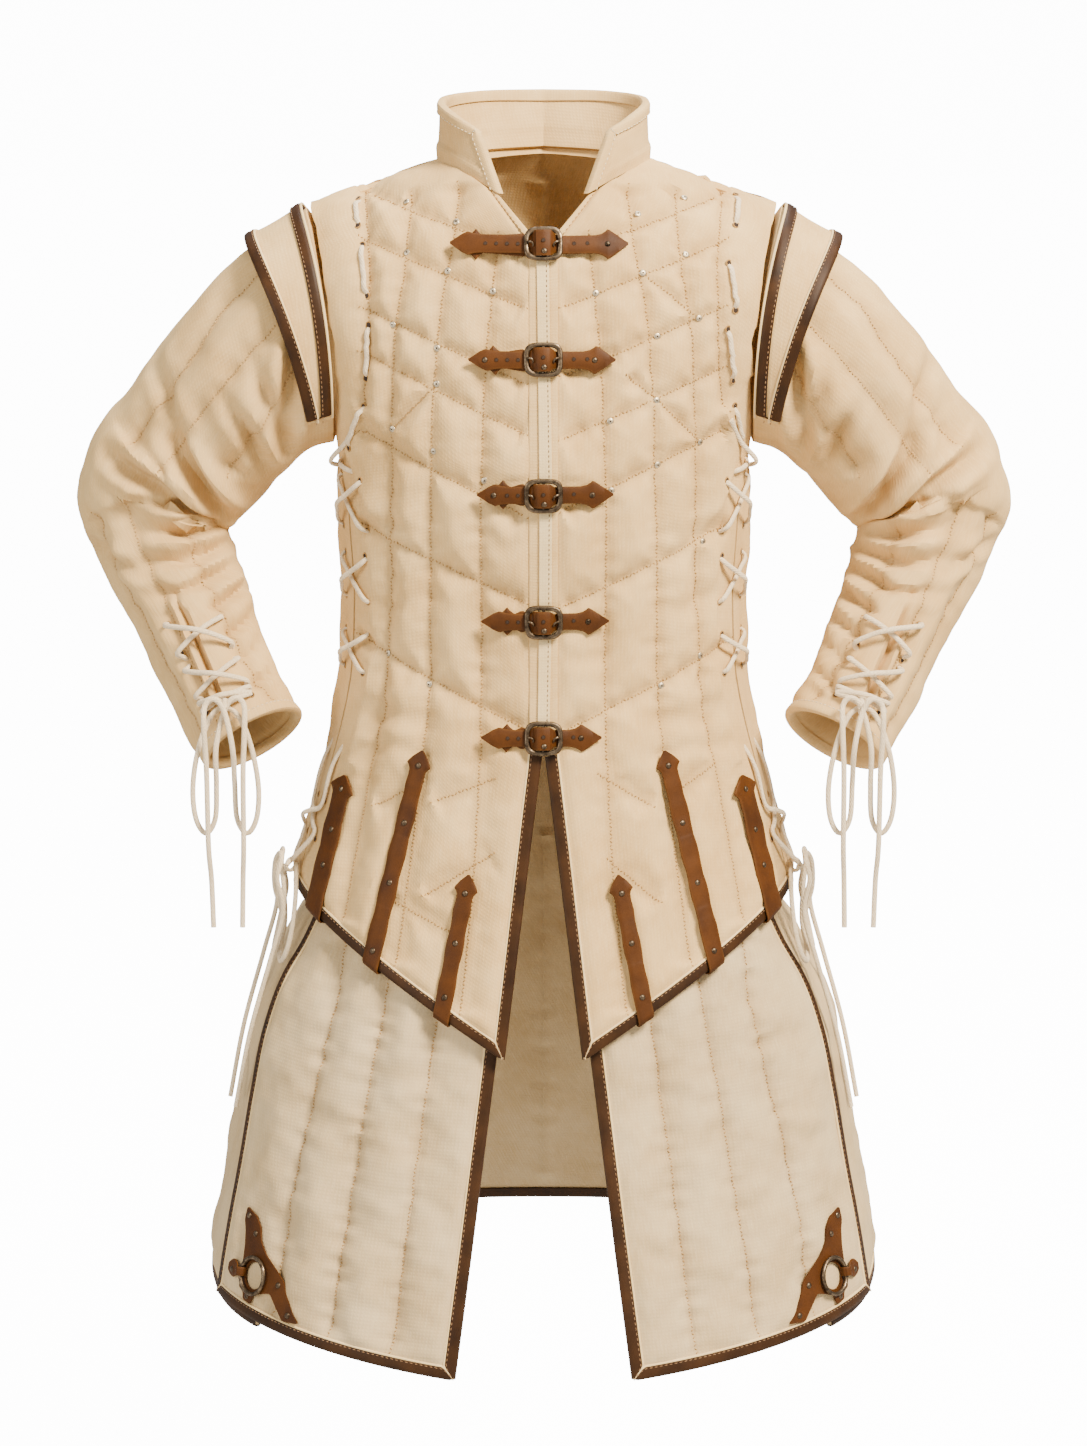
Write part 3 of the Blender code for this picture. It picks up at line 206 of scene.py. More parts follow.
def bodyPoint(angle, z):
    angle, z = np.broadcast_arrays(np.asarray(angle, float), np.asarray(z, float))
    x, y = ringPoint(angle, z, bodyRings)
    up = (z - shoulderBase) / (shoulderHeight(x) - shoulderBase)
    y = np.where(z > shoulderBase, y * np.sqrt(np.maximum(0.0, 1.0 - up * up)), y)
    return np.stack([x, y, z], axis=-1)


def skirtPoint(angle, z, inset=0.0):
    angle, z = np.broadcast_arrays(np.asarray(angle, float), np.asarray(z, float))
    x, y = ringPoint(angle, z, skirtRings, inset)
    return np.stack([x, y, z], axis=-1)


def outerPoint(angle, z):    # whichever is further out, the coat or its lower skirts
    inner = bodyPoint(angle, z)
    if z > -0.6:
        return inner
    other = skirtPoint(angle, z)
    return inner if np.hypot(*inner[:2]) > np.hypot(*other[:2]) else other


def bodyAngle(x, z):
    return np.arcsin(np.minimum(1.0, np.abs(x) / fromTable(bodyRings, 1, z)) ** (1 / cloth["roundness"]))


def surfaceFrame(point, angle, z, nudge=0.002):
    here = point(angle, z)
    roundWay = point(angle + nudge * 4, z) - point(angle - nudge * 4, z)
    upWay = point(angle, z + nudge) - point(angle, z - nudge)
    return here, unit(np.cross(roundWay, upWay))


def sideEdge(z):
    return math.radians(float(straight(armhole if z > armhole[-1][0] else sideOpening, z)))


def topEdge(x, back=False):
    x = np.abs(x)
    inward = np.maximum(0.0, (neckHalf - x) / (neckHalf - neckTop[0]))
    neckline = neckSide - (neckSide - neckTop[1]) * inward**1.2
    if back:
        neckline = neckSide + 0.009 * (1 - (x / neckHalf) ** 2)
    return np.where(x >= neckHalf, shoulderHeight(x), neckline)


def frontEdge(z):
    if z > neckBottom:
        return float(np.interp(z, (neckBottom, neckTop[1]), (frontGap, neckTop[0])))
    return float(np.interp(z, (frontCorner[1], splitTop), (frontCorner[0], frontGap)))


def yokeRow(share, back):
    low = shoulderBase + (neckTop[1] - shoulderBase) * share
    start = 0.0 if back else frontEdge(low)
    endZ = shoulderBase + (float(topEdge(shoulderEnd)) - shoulderBase) * share
    half = bodyRings[1][1]
    end = half * math.sin(sideEdge(endZ)) ** cloth["roundness"]
    x = np.linspace(start, end, 90)
    inner = (x - start) / (end - start)
    topX = (0.0 if back else neckTop[0]) * (1 - inner) + shoulderEnd * inner
    z = shoulderBase + (topEdge(topX, back) - shoulderBase) * share
    angle = np.arcsin((x / half) ** (1 / cloth["roundness"]))
    line = bodyPoint(math.pi - angle if back else angle, z)
    if share > 0.9999:
        line[topX >= neckHalf, 1] = 0.0002 if back else -0.0002
    return line


def ringRow(innerZ, outerZ, startX, back):
    endAngle = sideEdge(outerZ)
    if back and outerZ > armhole[-1][0]:
        endAngle = math.pi - endAngle
    share = np.linspace(0, 1, 90)
    if back:
        return bodyPoint(math.pi - (math.pi - endAngle) * share, innerZ + (outerZ - innerZ) * share)
    startAngle = float(bodyAngle(startX, innerZ))
    angle = startAngle + (endAngle - startAngle) * share
    endX = ringPoint(endAngle, outerZ, bodyRings)[0]
    z = np.full(90, innerZ)
    for _ in range(4):
        x = ringPoint(angle, z, bodyRings)[0]
        z = innerZ + (outerZ - innerZ) * np.minimum(1.0, (x - startX) / (endX - startX))
    return bodyPoint(angle, z)


def finePanel(lines, columns, half, trims=None):    # a grid of middle points with its normals and distances
    points, across = [], []
    for line, trim in zip(lines, trims or [0.0] * len(lines)):
        total = lengthsAlong(line)[-1] - trim
        points.append(respaced(line, np.linspace(0, total, columns)))
        across.append(np.linspace(0, total, columns))
    points = np.array(points)
    steps = np.linalg.norm(np.diff(points, axis=0), axis=2)
    down = np.concatenate([np.zeros((1, points.shape[1])), np.cumsum(steps, axis=0)])
    return {"points": points, "across": np.array(across), "down": down, "half": half,
            "normals": gridNormals(points)}


def gridNormals(points):
    return unit(np.cross(np.gradient(points, axis=1), -np.gradient(points, axis=0)))


def pressEdges(panel, bound, near=0.008, far=0.016):    # the quilt gets thin where a binding presses it
    across, down = panel["across"], panel["down"]
    gap = np.full(across.shape, 1.0)
    reach = {"start": across, "end": across[:, -1:] - across, "hem": down[-1:] - down}
    for side in bound:
        gap = np.minimum(gap, reach[side])
    panel["edgeGap"] = gap
    panel["half"] = cloth["halfEdge"] + (panel["half"] - cloth["halfEdge"]) * smooth(near, far, gap)
    return panel


def coatRows(yokeCount, keys, count, back):    # the shoulder's rows and the rows below them, with their trims
    shares = np.sin(np.linspace(math.pi / 2, 0, yokeCount))
    keys = np.array(keys)
    innerZ = np.linspace(keys[0, 0], keys[-1, 0], count)
    outerZ = np.interp(-innerZ, -keys[:, 0], keys[:, 1])
    lines = [yokeRow(share, back) for share in shares[:-1]]
    lines += [ringRow(a, b, 0.0 if back else frontEdge(a), back) for a, b in zip(innerZ, outerZ)]
    return lines, [0.0] * (yokeCount - 1) + [0.0015] * count


def wholeRow(half):    # a row on one side of the middle and its mirror image
    return np.concatenate([half[::-1], half[1:] * (-1, 1, 1)])


def coatFrontPanel():
    lines, trims = coatRows(56, frontRows, 172, False)
    return pressEdges(finePanel(lines, 62, cloth["halfWall"], trims), ("start", "hem"))


def coatBackPanel():
    whole = [wholeRow(respaced(line, np.linspace(0, lengthsAlong(line)[-1] - trim, 90)))
             for line, trim in zip(*coatRows(50, backRows, 130, True))]
    return pressEdges(finePanel(whole, 111, cloth["halfWall"]), ("hem",))


def sleeveRing(station):
    rings = np.array(sleeveRings)
    i = min(int(station), len(rings) - 2)
    t = station - i

    def values(at):
        row = rings[min(max(at, 0), len(rings) - 1)]
        if at < 0:
            row = 2 * rings[0] - rings[1]
        if at >= len(rings):
            row = 2 * rings[-1] - rings[-2]
        outer = np.array((row[0], row[4], row[1]))
        inner = np.array((row[2], row[4], row[3]))
        return np.concatenate([(outer + inner) / 2, (outer - inner) / 2, row[5:7]])

    a, b, c, d = values(i - 1), values(i), values(i + 1), values(i + 2)
    now = between(a, b, c, d, t)
    way = 0.5 * ((c - a) + 2 * (2 * a - 5 * b + 4 * c - d) * t + 3 * (3 * b - a - 3 * c + d) * t**2)
    up = now[3:6] * (1 - cloth["halfWall"] / np.linalg.norm(now[3:6]))
    across = unit(np.cross(way[:3], up))
    if across[1] > 0:
        across = -across
    turned = float(smooth(0.5, 4.5, station))
    across = unit(np.array((0.0, -1.0, 0.0)) * (1 - turned) + across * turned)
    return now[:3], up, across * (now[6] / 2 - cloth["halfWall"]), now[7]


def sleevePoint(station, angle):
    centre, up, across, bow = sleeveRing(station)
    angle = np.asarray(angle, float)[..., None]
    point = centre + up * np.cos(angle) + across * np.sin(angle)
    return point - np.array((1.0, 0.0, 0.0)) * bow * np.sin(angle) ** 2


def sleeveFrame(station, angle):
    here = sleevePoint(station, angle)
    roundWay = sleevePoint(station, angle + 0.05) - sleevePoint(station, angle - 0.05)
    along = sleevePoint(station + 0.05, angle) - sleevePoint(station - 0.05, angle)
    normal = unit(np.cross(roundWay, along))
    facing = np.sign(np.sum(normal * (here - sleeveRing(station)[0]), axis=-1, keepdims=True))
    return here, normal * facing


def sleevePanel(columns=104):
    angles = np.linspace(0, 2 * math.pi, columns, endpoint=False)
    stations = respaced([(s, 0) for s in range(13)], np.linspace(0, 12, 150))[:, 0]
    points = np.array([sleevePoint(s, angles) for s in stations])
    roundWay = np.roll(points, -1, axis=1) - np.roll(points, 1, axis=1)
    normals = unit(np.cross(roundWay, np.gradient(points, axis=0)))
    facing = np.sign(np.sum(normals * (points - points.mean(axis=1, keepdims=True)), axis=-1, keepdims=True))
    steps = np.linalg.norm(np.diff(points, axis=0), axis=2)
    down = np.concatenate([np.zeros((1, columns)), np.cumsum(steps, axis=0)])
    girth = np.linalg.norm(np.diff(points, axis=1), axis=2)
    across = np.concatenate([np.zeros((len(points), 1)), np.cumsum(girth, axis=1)], axis=1)
    panel = {"points": points, "normals": normals * facing, "across": across, "down": down,
             "half": cloth["halfWall"], "closed": True}
    return pressEdges(panel, ("hem",), 0.006, 0.014)


skirts = {"top": -0.5, "corner": (0.0735, -0.986), "rise": 0.148, "side": 70.0, "underlap": 56.0,
          "inner": ((-0.5, 0.01), (-0.727, 0.04), (-0.985, 0.0735)), "backHem": (-0.975, -0.962)}


def skirtFrontPanel():
    sideZ = skirts["corner"][1] + skirts["rise"] * (0.279 - skirts["corner"][0])
    innerZ = np.linspace(skirts["top"], skirts["corner"][1], 138)
    outerZ = np.where(innerZ > -0.88, innerZ, np.interp(-innerZ, (0.88, -skirts["corner"][1]), (-0.88, sideZ)))
    end = math.radians(skirts["side"])
    lines = []
    for a, b in zip(innerZ, outerZ):
        x = float(straight(skirts["inner"], a))
        start = math.asin((x / float(fromTable(skirtRings, 1, a))) ** (1 / cloth["roundness"]))
        angle = np.linspace(start, end, 90)
        z = a + (b - a) * np.sin(angle) / math.sin(end)
        lines.append(skirtPoint(angle, z))
    return pressEdges(finePanel(lines, 74, cloth["halfWall"]), ("start", "end", "hem"))


def skirtBackPanel():
    keysIn, keysOut = skirts["backHem"]
    innerZ = np.linspace(skirts["top"], keysIn, 104)
    outerZ = np.where(innerZ > -0.88, innerZ, np.interp(-innerZ, (0.88, -keysIn), (-0.88, keysOut)))
    angle = np.linspace(math.pi, math.radians(skirts["underlap"]), 110)
    tuck = 0.0088 * smooth(0.0, 1.0, (math.radians(106) - angle) / math.radians(28))
    lines = [wholeRow(skirtPoint(angle, a + (b - a) * (1 - np.abs(np.cos(angle))), tuck))
             for a, b in zip(innerZ, outerZ)]
    return pressEdges(finePanel(lines, 171, cloth["halfWall"]), ("hem",))


# neck x, part of the neckline, top x, top y, top z
collarLine = mm((
    (34.5, "front", 53, -55, 19), (60, "front", 69, -42, 28), (78, "front", 80, -22, 35),
    (85, "front", 84, 0, 40), (74, "back", 77, 30, 44), (45, "back", 49, 57, 46), (0, "back", 0, 68, 47)))


def collarPanel():
    base, top = [], []
    for x, part, topX, topY, topZ in collarLine:
        z = topEdge(x, part == "back")
        angle = math.asin((x / bodyRings[1][1]) ** (1 / cloth["roundness"]))
        base.append(bodyPoint(math.pi - angle if part == "back" else angle, z) + (0, 0, 0.0042))
        top.append((topX, topY, topZ))
    halves = []
    for line in (curveThrough(base, 12), curveThrough(top, 12)):
        spread = evenly(line, lengthsAlong(line)[-1] / 50)
        halves.append(np.concatenate([spread, (spread[:-1] * (-1, 1, 1))[::-1]]))
    base, top = halves
    lines = [base + (top - base) * share for share in np.linspace(0, 1, 20)]
    panel = finePanel(lines, 121, 0.0025)
    panel["normals"] = -panel["normals"]
    return pressEdges(panel, ("start", "end", "hem"))


wing = {"reach": 135.0, "off": 0.0087, "start": 0.004, "least": 0.018, "most": 0.05, "lift": 0.007}


def wingPanel():
    reach = math.radians(wing["reach"])
    rows = []
    for angle in np.linspace(-reach, reach, 96):
        line = []
        for station in np.linspace(0, 3.5, 60):
            point, normal = sleeveFrame(station, angle)
            line.append(point + normal * wing["off"])
        share = math.cos(angle * (math.pi / 2) / reach) ** 1.3
        width = wing["least"] + (wing["most"] - wing["least"]) * share
        spots = np.linspace(0, width, 18)
        row = respaced(line, wing["start"] + spots)
        lift = wing["lift"] * max(0.0, math.cos(angle)) * (spots / width) ** 2
        rows.append(row + lift[:, None] * sleeveFrame(1.0, angle)[1])
    panel = finePanel(rows, 18, cloth["halfEdge"])
    if np.sum(panel["normals"] * (panel["points"] - sleeveRing(1.5)[0])) < 0:
        panel["normals"] = -panel["normals"]
    return panel


def pair(panel):    # a panel of the wearer's left and its mirrored fellow
    other = {**panel, "points": panel["points"] * (-1, 1, 1), "normals": panel["normals"] * (-1, 1, 1)}
    return ("left", 1, panel), ("right", -1, other)


def addMesh(name, vertices, faces, finish, uv=None, values=None, sharp=40):
    mesh = bpy.data.meshes.new(name)
    mesh.from_pydata(np.asarray(vertices, float).tolist(), [], [tuple(int(i) for i in f) for f in faces])
    for key, data in (values or {}).items():
        layer = mesh.attributes.new(key, "FLOAT", "POINT")
        layer.data.foreach_set("value", np.asarray(data, np.float32).ravel())
    shape = bmesh.new()
    shape.from_mesh(mesh)
    bmesh.ops.recalc_face_normals(shape, faces=shape.faces)
    shape.to_mesh(mesh)
    shape.free()
    if uv is not None:
        layer = mesh.uv_layers.new(name="flat")
        corners = np.zeros(len(mesh.loops), np.int32)
        mesh.loops.foreach_get("vertex_index", corners)
        layer.data.foreach_set("uv", np.asarray(uv, np.float32)[corners].ravel())
    mesh.shade_smooth()
    mesh.set_sharp_from_angle(angle=math.radians(sharp))
    mesh.materials.append(finish)
    return newObject(name, mesh)


def rides(piece, body="coat", nodes=()):
    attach(piece, body)
    if nodes:
        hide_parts(*nodes)
    return piece


def quads(grid):
    return np.stack([grid[:-1, :-1], grid[:-1, 1:], grid[1:, 1:], grid[1:, :-1]], axis=-1).reshape(-1, 4)


def loftFaces(count, sides, closed=False, caps=True):    # the faces of a run of equal sections
    grid = np.arange(count * sides).reshape(count, sides)
    ring = np.concatenate([grid, grid[:, :1]], axis=1)
    faces = [tuple(q) for q in quads(np.concatenate([ring, ring[:1]]) if closed else ring)]
    return faces + ([tuple(grid[0][::-1]), tuple(grid[-1])] if caps and not closed else [])


def gridShell(name, panel, finish, node):    # a closed wall round the middle grid, dimpled outside
    points, normals = panel["points"], panel["normals"]
    half = np.broadcast_to(panel["half"], points.shape[:2])[..., None]
    swell = panel.get("swell", np.zeros(points.shape[:2]))[..., None]
    outside = points + normals * (half + swell)
    inside = points - normals * (half - np.minimum(swell, 0) * 0.7 - np.maximum(swell, 0) * 0.2)
    panel["outside"] = outside
    rows, columns = points.shape[:2]
    closed = panel.get("closed", False)
    uv = np.stack([panel["across"], -panel["down"]], axis=-1).reshape(-1, 2)
    # painted shade of the grooves goes onto the mesh as a point value, weaker on the inside face
    grooveAndPaintedShade = panel.get("grooveAndPaintedShade", np.zeros(points.shape[:2])).ravel()
    grid = np.arange(rows * columns).reshape(rows, columns)
    if closed:
        grid = np.concatenate([grid, grid[:, :1]], axis=1)
    faces = [quads(grid), quads(grid)[:, ::-1] + rows * columns]
    rims = [grid[0], grid[-1][::-1]]
    if not closed:
        rims += [grid[:, -1], grid[::-1, 0]]
    for rim in rims:
        faces.append(np.stack([rim[1:], rim[:-1], rim[:-1] + rows * columns, rim[1:] + rows * columns],
                              axis=-1))
    vertices = np.concatenate([outside.reshape(-1, 3), inside.reshape(-1, 3)])
    piece = addMesh(name, vertices, np.concatenate(faces), finish, np.concatenate([uv, uv]),
                    {"grooveAndPaintedShade": np.concatenate([grooveAndPaintedShade, grooveAndPaintedShade * 0.4])})
    return rides(piece, nodes=(node,))


def finder(panel, mask=None):    # looks up the grid by x and z, as seen from straight in front or behind
    flat = panel["points"].reshape(-1, 3)
    chosen = np.arange(len(flat)) if mask is None else np.flatnonzero(mask.ravel())
    tree = KDTree(len(chosen))
    for i in chosen:
        tree.insert((flat[i, 0], flat[i, 2], 0.0), int(i))
    tree.balance()
    return tree


def spotsOn(tree, line, step=0.005):
    spots = []
    for x, z in evenly(line, step):
        found = tree.find_n((x, z, 0.0), 4)
        weights = np.array([1 / (f[2] + 2e-4) for f in found])
        spots.append(([f[1] for f in found], weights / weights.sum()))
    return spots


def layerAt(layer, spots):
    flat = layer.reshape(-1, layer.shape[-1])
    return np.array([(flat[index] * weight[:, None]).sum(axis=0) for index, weight in spots])


def nearLine(points, line):    # distance to a line and the share of the way along it
    best = np.full(len(points), 1e9)
    share = np.zeros(len(points))
    along = lengthsAlong(line)
    for i in range(len(line) - 1):
        a, ab = line[i], line[i + 1] - line[i]
        t = np.clip(((points - a) @ ab) / max(1e-12, ab @ ab), 0, 1)
        gap = np.linalg.norm(points - a - t[:, None] * ab, axis=1)
        closer = gap < best
        best[closer] = gap[closer]
        share[closer] = (along[i] + t[closer] * (along[i + 1] - along[i])) / along[-1]
    return best, share, along[-1]


def ripple(points, seed, size, count=14):    # gentle unevenness from a fixed set of waves
    draw = np.random.default_rng(seed)
    total = np.zeros(len(points))
    for _ in range(count):
        way = unit(draw.normal(size=3))
        total += np.sin(points @ way * (2 * math.pi / (size * draw.uniform(0.7, 1.6))) + draw.uniform(0, 6.28))
    return total / math.sqrt(count)


def quilt(panel, tree, seams, folds, seed, look, pressed=()):
    flat = panel["points"].reshape(-1, 3)
    grooveAndPaintedShade = np.zeros(len(flat))
    nearest = np.full(len(flat), 1.0)
    pucker = np.zeros(len(flat))
    for number, seam in enumerate(seams):
        spots = spotsOn(tree, seam, 0.008)
        line = layerAt(panel["points"], spots)
        gap, share, total = nearLine(flat, line)
        ends = smooth(0.0, 0.006, share * total) * smooth(0.0, 0.006, (1 - share) * total)
        grooveAndPaintedShade = np.maximum(grooveAndPaintedShade, np.exp(-(gap / look["width"]) ** 2) * ends)
        nearest = np.minimum(nearest, gap + 0.02 * (1 - ends))
        draw = np.random.default_rng(seed * 100 + number)
        wave = np.zeros(len(flat))
        for _ in range(4):
            wave += np.sin(share * total * 2 * math.pi / draw.uniform(0.01, 0.024) + draw.uniform(0, 6.28))
        pucker += wave * 0.25 * np.exp(-(gap / 0.011) ** 2) * ends
    puff = 1 - np.exp(-(nearest / look["puffWidth"]) ** 2)
    swell = look["puff"] * (puff - 0.55) - look["depth"] * grooveAndPaintedShade + look["pucker"] * pucker
    swell += look["uneven"] * ripple(flat, seed, look["unevenSize"])
    swell += look["uneven"] * 0.35 * ripple(flat, seed + 7, look["unevenSize"] * 0.35)
    # painted shade: closeness to the seam grooves, and below it the fold valleys, is stored to darken the
    # cloth's colour there
    shade = grooveAndPaintedShade * 0.9
    for fold, depth, width in folds:
        depth *= look.get("foldDepth", 1.0)
        line = layerAt(panel["points"], spotsOn(tree, fold, 0.006))
        gap, share, total = nearLine(flat, line)
        fade = np.sin(np.clip(share, 0.03, 0.97) * math.pi) ** 0.6 * (gap < width * 6)
        valley = np.exp(-(gap / width) ** 2)
        ridge = np.exp(-((gap - 2.1 * width) / (1.1 * width)) ** 2)
        swell += fade * (ridge * depth * 0.55 - valley * depth)
        shade = np.maximum(shade, fade * valley * min(1.0, depth / 0.004) * 0.8)
    for line, reach in pressed:    # straps and laces hold the padding down
        gap = nearLine(flat, line)[0]
        swell = np.minimum(swell, 0.0001 + smooth(reach, reach + 0.014, gap) * 0.012)
    if "under" in look:    # the skirts stay flat under the coat's hem, and the coat clear of them
        swell = np.minimum(swell, look["under"] + 0.008 * smooth(-0.62, -0.67, flat[:, 2]))
    else:
        swell = np.maximum(swell, -0.0034 - 0.008 * smooth(-0.5, -0.46, flat[:, 2]))
    calm = smooth(0.004, 0.02, panel["edgeGap"].ravel())
    panel["swell"] = (swell * calm).reshape(panel["points"].shape[:2])
    panel["grooveAndPaintedShade"] = (shade * calm).reshape(panel["points"].shape[:2])


print("surfaces ready")

# cords first: the routes that the laces take
sideCrosses = ((-0.265, -0.3015, 68.0, 9.0), (-0.33, -0.362, 67.5, 9.0),
               (-0.395, -0.422, 68.5, 8.5), (-0.54, -0.566, 76.0, 5.5))
sideTop = {"front": ((56.0, -0.212), (65.0, -0.2315), (73.0, -0.25), (76.0, -0.257)),
           "back": ((79.0, -0.2475), (74.3, -0.2512), (66.0, -0.256), (60.0, -0.26))}
sideRun = ((-0.462, 71.0, 7.0), (-0.505, 74.5, 5.5))
sideKnot = (math.radians(79.0), -0.596)
sideBow = (0.079, 0.207)
cuffBow = (0.105, 0.185)
cuffCrosses = ((10.16, 10.48), (10.66, 10.98), (11.1, 11.27))
cuff = {"loop": 9.82, "knot": 11.4, "low": 0.007, "spread": math.radians(27.0), "hang": 0.016}


def bowRoute(turn, drop, tail, low):
    level = laces["level"]
    first = low if turn > 0 else low + level
    high = first + 2 * level
    rows = [(0.01, 0.006, first), (0.0, 0.0, first), (-0.012, -0.009, first), (-0.022, -0.33 * drop, low),
            (-0.027, -0.63 * drop, low), (-0.025, -0.88 * drop, low), (-0.017, -drop, low),
            (-0.009, -0.88 * drop, low), (-0.0075, -0.6 * drop, low),
            (-0.007, -0.3 * drop, first + level), (0.0, -0.002, high), (0.008, 0.008, high),
            (0.0155, 0.003, high), (0.0165, -0.012, high), (0.015, -0.5 * drop, low + level),
            (0.0145, -1.08 * drop, low + level), (0.013, -(drop + tail) / 2, low), (0.012, -tail, low)]
    return [(u * turn, v, h) for u, v, h in rows]


def crossingHeight(number, first, low):
    over = (number % 2 == 0) == (first < 0)
    return low + (laces["level"] * 1.5 if over else 0.0)


def lifted(frameAt, route):    # the points of a route at their heights over a surface
    points, away = [], []
    for u, v, h in route:
        point, normal = frameAt(u, v)
        points.append(point + normal * h)
        away.append(normal)
    return points, away


def sideLaceRoute(first):
    start = sideTop["front" if first < 0 else "back"]
    low, under = laces["low"], -laces["low"]
    route = [(degrees, z, low) for degrees, z in start[:3]] + [(*start[3], under)]
    if first > 0:
        route[0] = (*start[0], under)
    if first < 0:
        route[2] = (*start[2], crossingHeight(0, first, low))
    edge = -first
    for number, (top, foot, middle, spread) in enumerate(sideCrosses, 1):
        crossing = crossingHeight(number, first, low)
        if number in (2, 3):
            route.append((middle + spread * edge, top + 0.008, under))
        for share, raised in ((0.0, 0.0), (0.3, 0.6), (0.5, 1.0), (0.7, 0.6), (1.0, 0.0)):
            route.append((middle + spread * edge * (1 - 2 * share), top + (foot - top) * share,
                          low + (crossing - low) * raised))
        edge = -edge
        if number in (1, 2, 3):
            route.append((middle + spread * edge, foot - 0.008, under))
        if number == 3:
            route += [(degrees + spread * edge, z, h) for (z, degrees, spread), h in zip(sideRun, (under, low))]
    points, away = lifted(lambda degrees, z: surfaceFrame(bodyPoint, math.radians(degrees), z), route)
    angle, z = sideKnot
    along = np.linalg.norm(outerPoint(angle - 0.01, z) - outerPoint(angle + 0.01, z)) / 0.02
    for u, v, h in bowRoute(edge, *sideBow, low + laces["knot"]):
        point, normal = surfaceFrame(outerPoint, angle + u / along, z + v)
        points.append(point + normal * h)
        away.append(unit(normal * 0.5 + np.array((0.0, -0.9, 0.0))))
    return points, away


def cuffLaceRoute(first):
    middle = math.pi / 2
    edge = first
    low, under = cuff["low"], -0.0066
    route = [(cuff["loop"], middle + 0.055 * edge, under),
             (cuff["loop"] + 0.1, middle + cuff["spread"] * 0.55 * edge, under),
             (cuffCrosses[0][0] - 0.05, middle + cuff["spread"] * edge, under)]
    for number, (top, foot) in enumerate(cuffCrosses):
        crossing = crossingHeight(number, first, low)
        for share, raised in ((0.0, 0.0), (0.25, 0.55), (0.5, 1.0), (0.75, 0.55), (1.0, 0.0)):
            route.append((top + (foot - top) * share, middle + cuff["spread"] * edge * (1 - 2 * share),
                          low + (crossing - low) * raised))
        edge = -edge
        if number < 2:
            route += [(foot + reach, middle + cuff["spread"] * edge, h)
                      for reach, h in ((0.035, 0.0), (0.09, under), (0.145, 0.0))]
    points, away = lifted(sleeveFrame, route)
    knot, normal = sleeveFrame(cuff["knot"], middle)
    knot = knot + normal * (low + laces["knot"])
    for u, v, h in bowRoute(edge, *cuffBow, 0.0):
        forward = h + cuff["hang"] * min(1.0, max(0.0, -v / 0.035))
        points.append(knot + np.array((-u, -forward, v)))
        away.append(np.array((0.0, -1.0, 0.0)))
    return points, away


def hexColour(text):
    parts = [int(text[i:i + 2], 16) / 255 for i in (1, 3, 5)]
    return tuple(c / 12.92 if c <= 0.04045 else ((c + 0.055) / 1.055) ** 2.4 for c in parts) + (1.0,)


def addNode(tree, kind, inputs=None, **settings):    # an input takes a value, a socket or a node's first output
    node = tree.nodes.new(kind)
    for key, value in settings.items():
        setattr(node, key, value)
    for key, value in (inputs or {}).items():
        value = value.outputs[0] if isinstance(value, bpy.types.Node) else value
        if isinstance(value, bpy.types.NodeSocket):
            tree.links.new(value, node.inputs[key])
        else:
            node.inputs[key].default_value = value
    return node


def newFinish(name, sockets):
    finish = bpy.data.materials.new(name)
    finish.use_nodes = True
    tree = finish.node_tree
    shader = tree.nodes["Principled BSDF"]
    for key, value in sockets.items():
        shader.inputs[key].default_value = value
    return finish, partial(addNode, tree), shader


def surfaced(finish, add, shader, colour, height, strength, distance, rough=None):
    bump = add("ShaderNodeBump", {"Strength": strength, "Distance": distance, "Height": height})
    for key, value in (("Base Color", colour.outputs[2]), ("Normal", bump.outputs[0]),
                       ("Roughness", rough and rough.outputs[0])):
        if value:
            finish.node_tree.links.new(value, shader.inputs[key])
    return finish


def mottled(add, place, scale, detail, spread, low, high, dark, colour):    # two tones in soft clouds
    cloud = add("ShaderNodeTexNoise", {"Vector": place, "Scale": scale, "Detail": detail, "Roughness": spread})
    tone = add("ShaderNodeMapRange", {"Value": cloud, "From Min": low, "From Max": high})
    return cloud, tone, add("ShaderNodeMix", {"Factor": tone, 6: hexColour(dark), 7: hexColour(colour)},
                            data_type="RGBA")


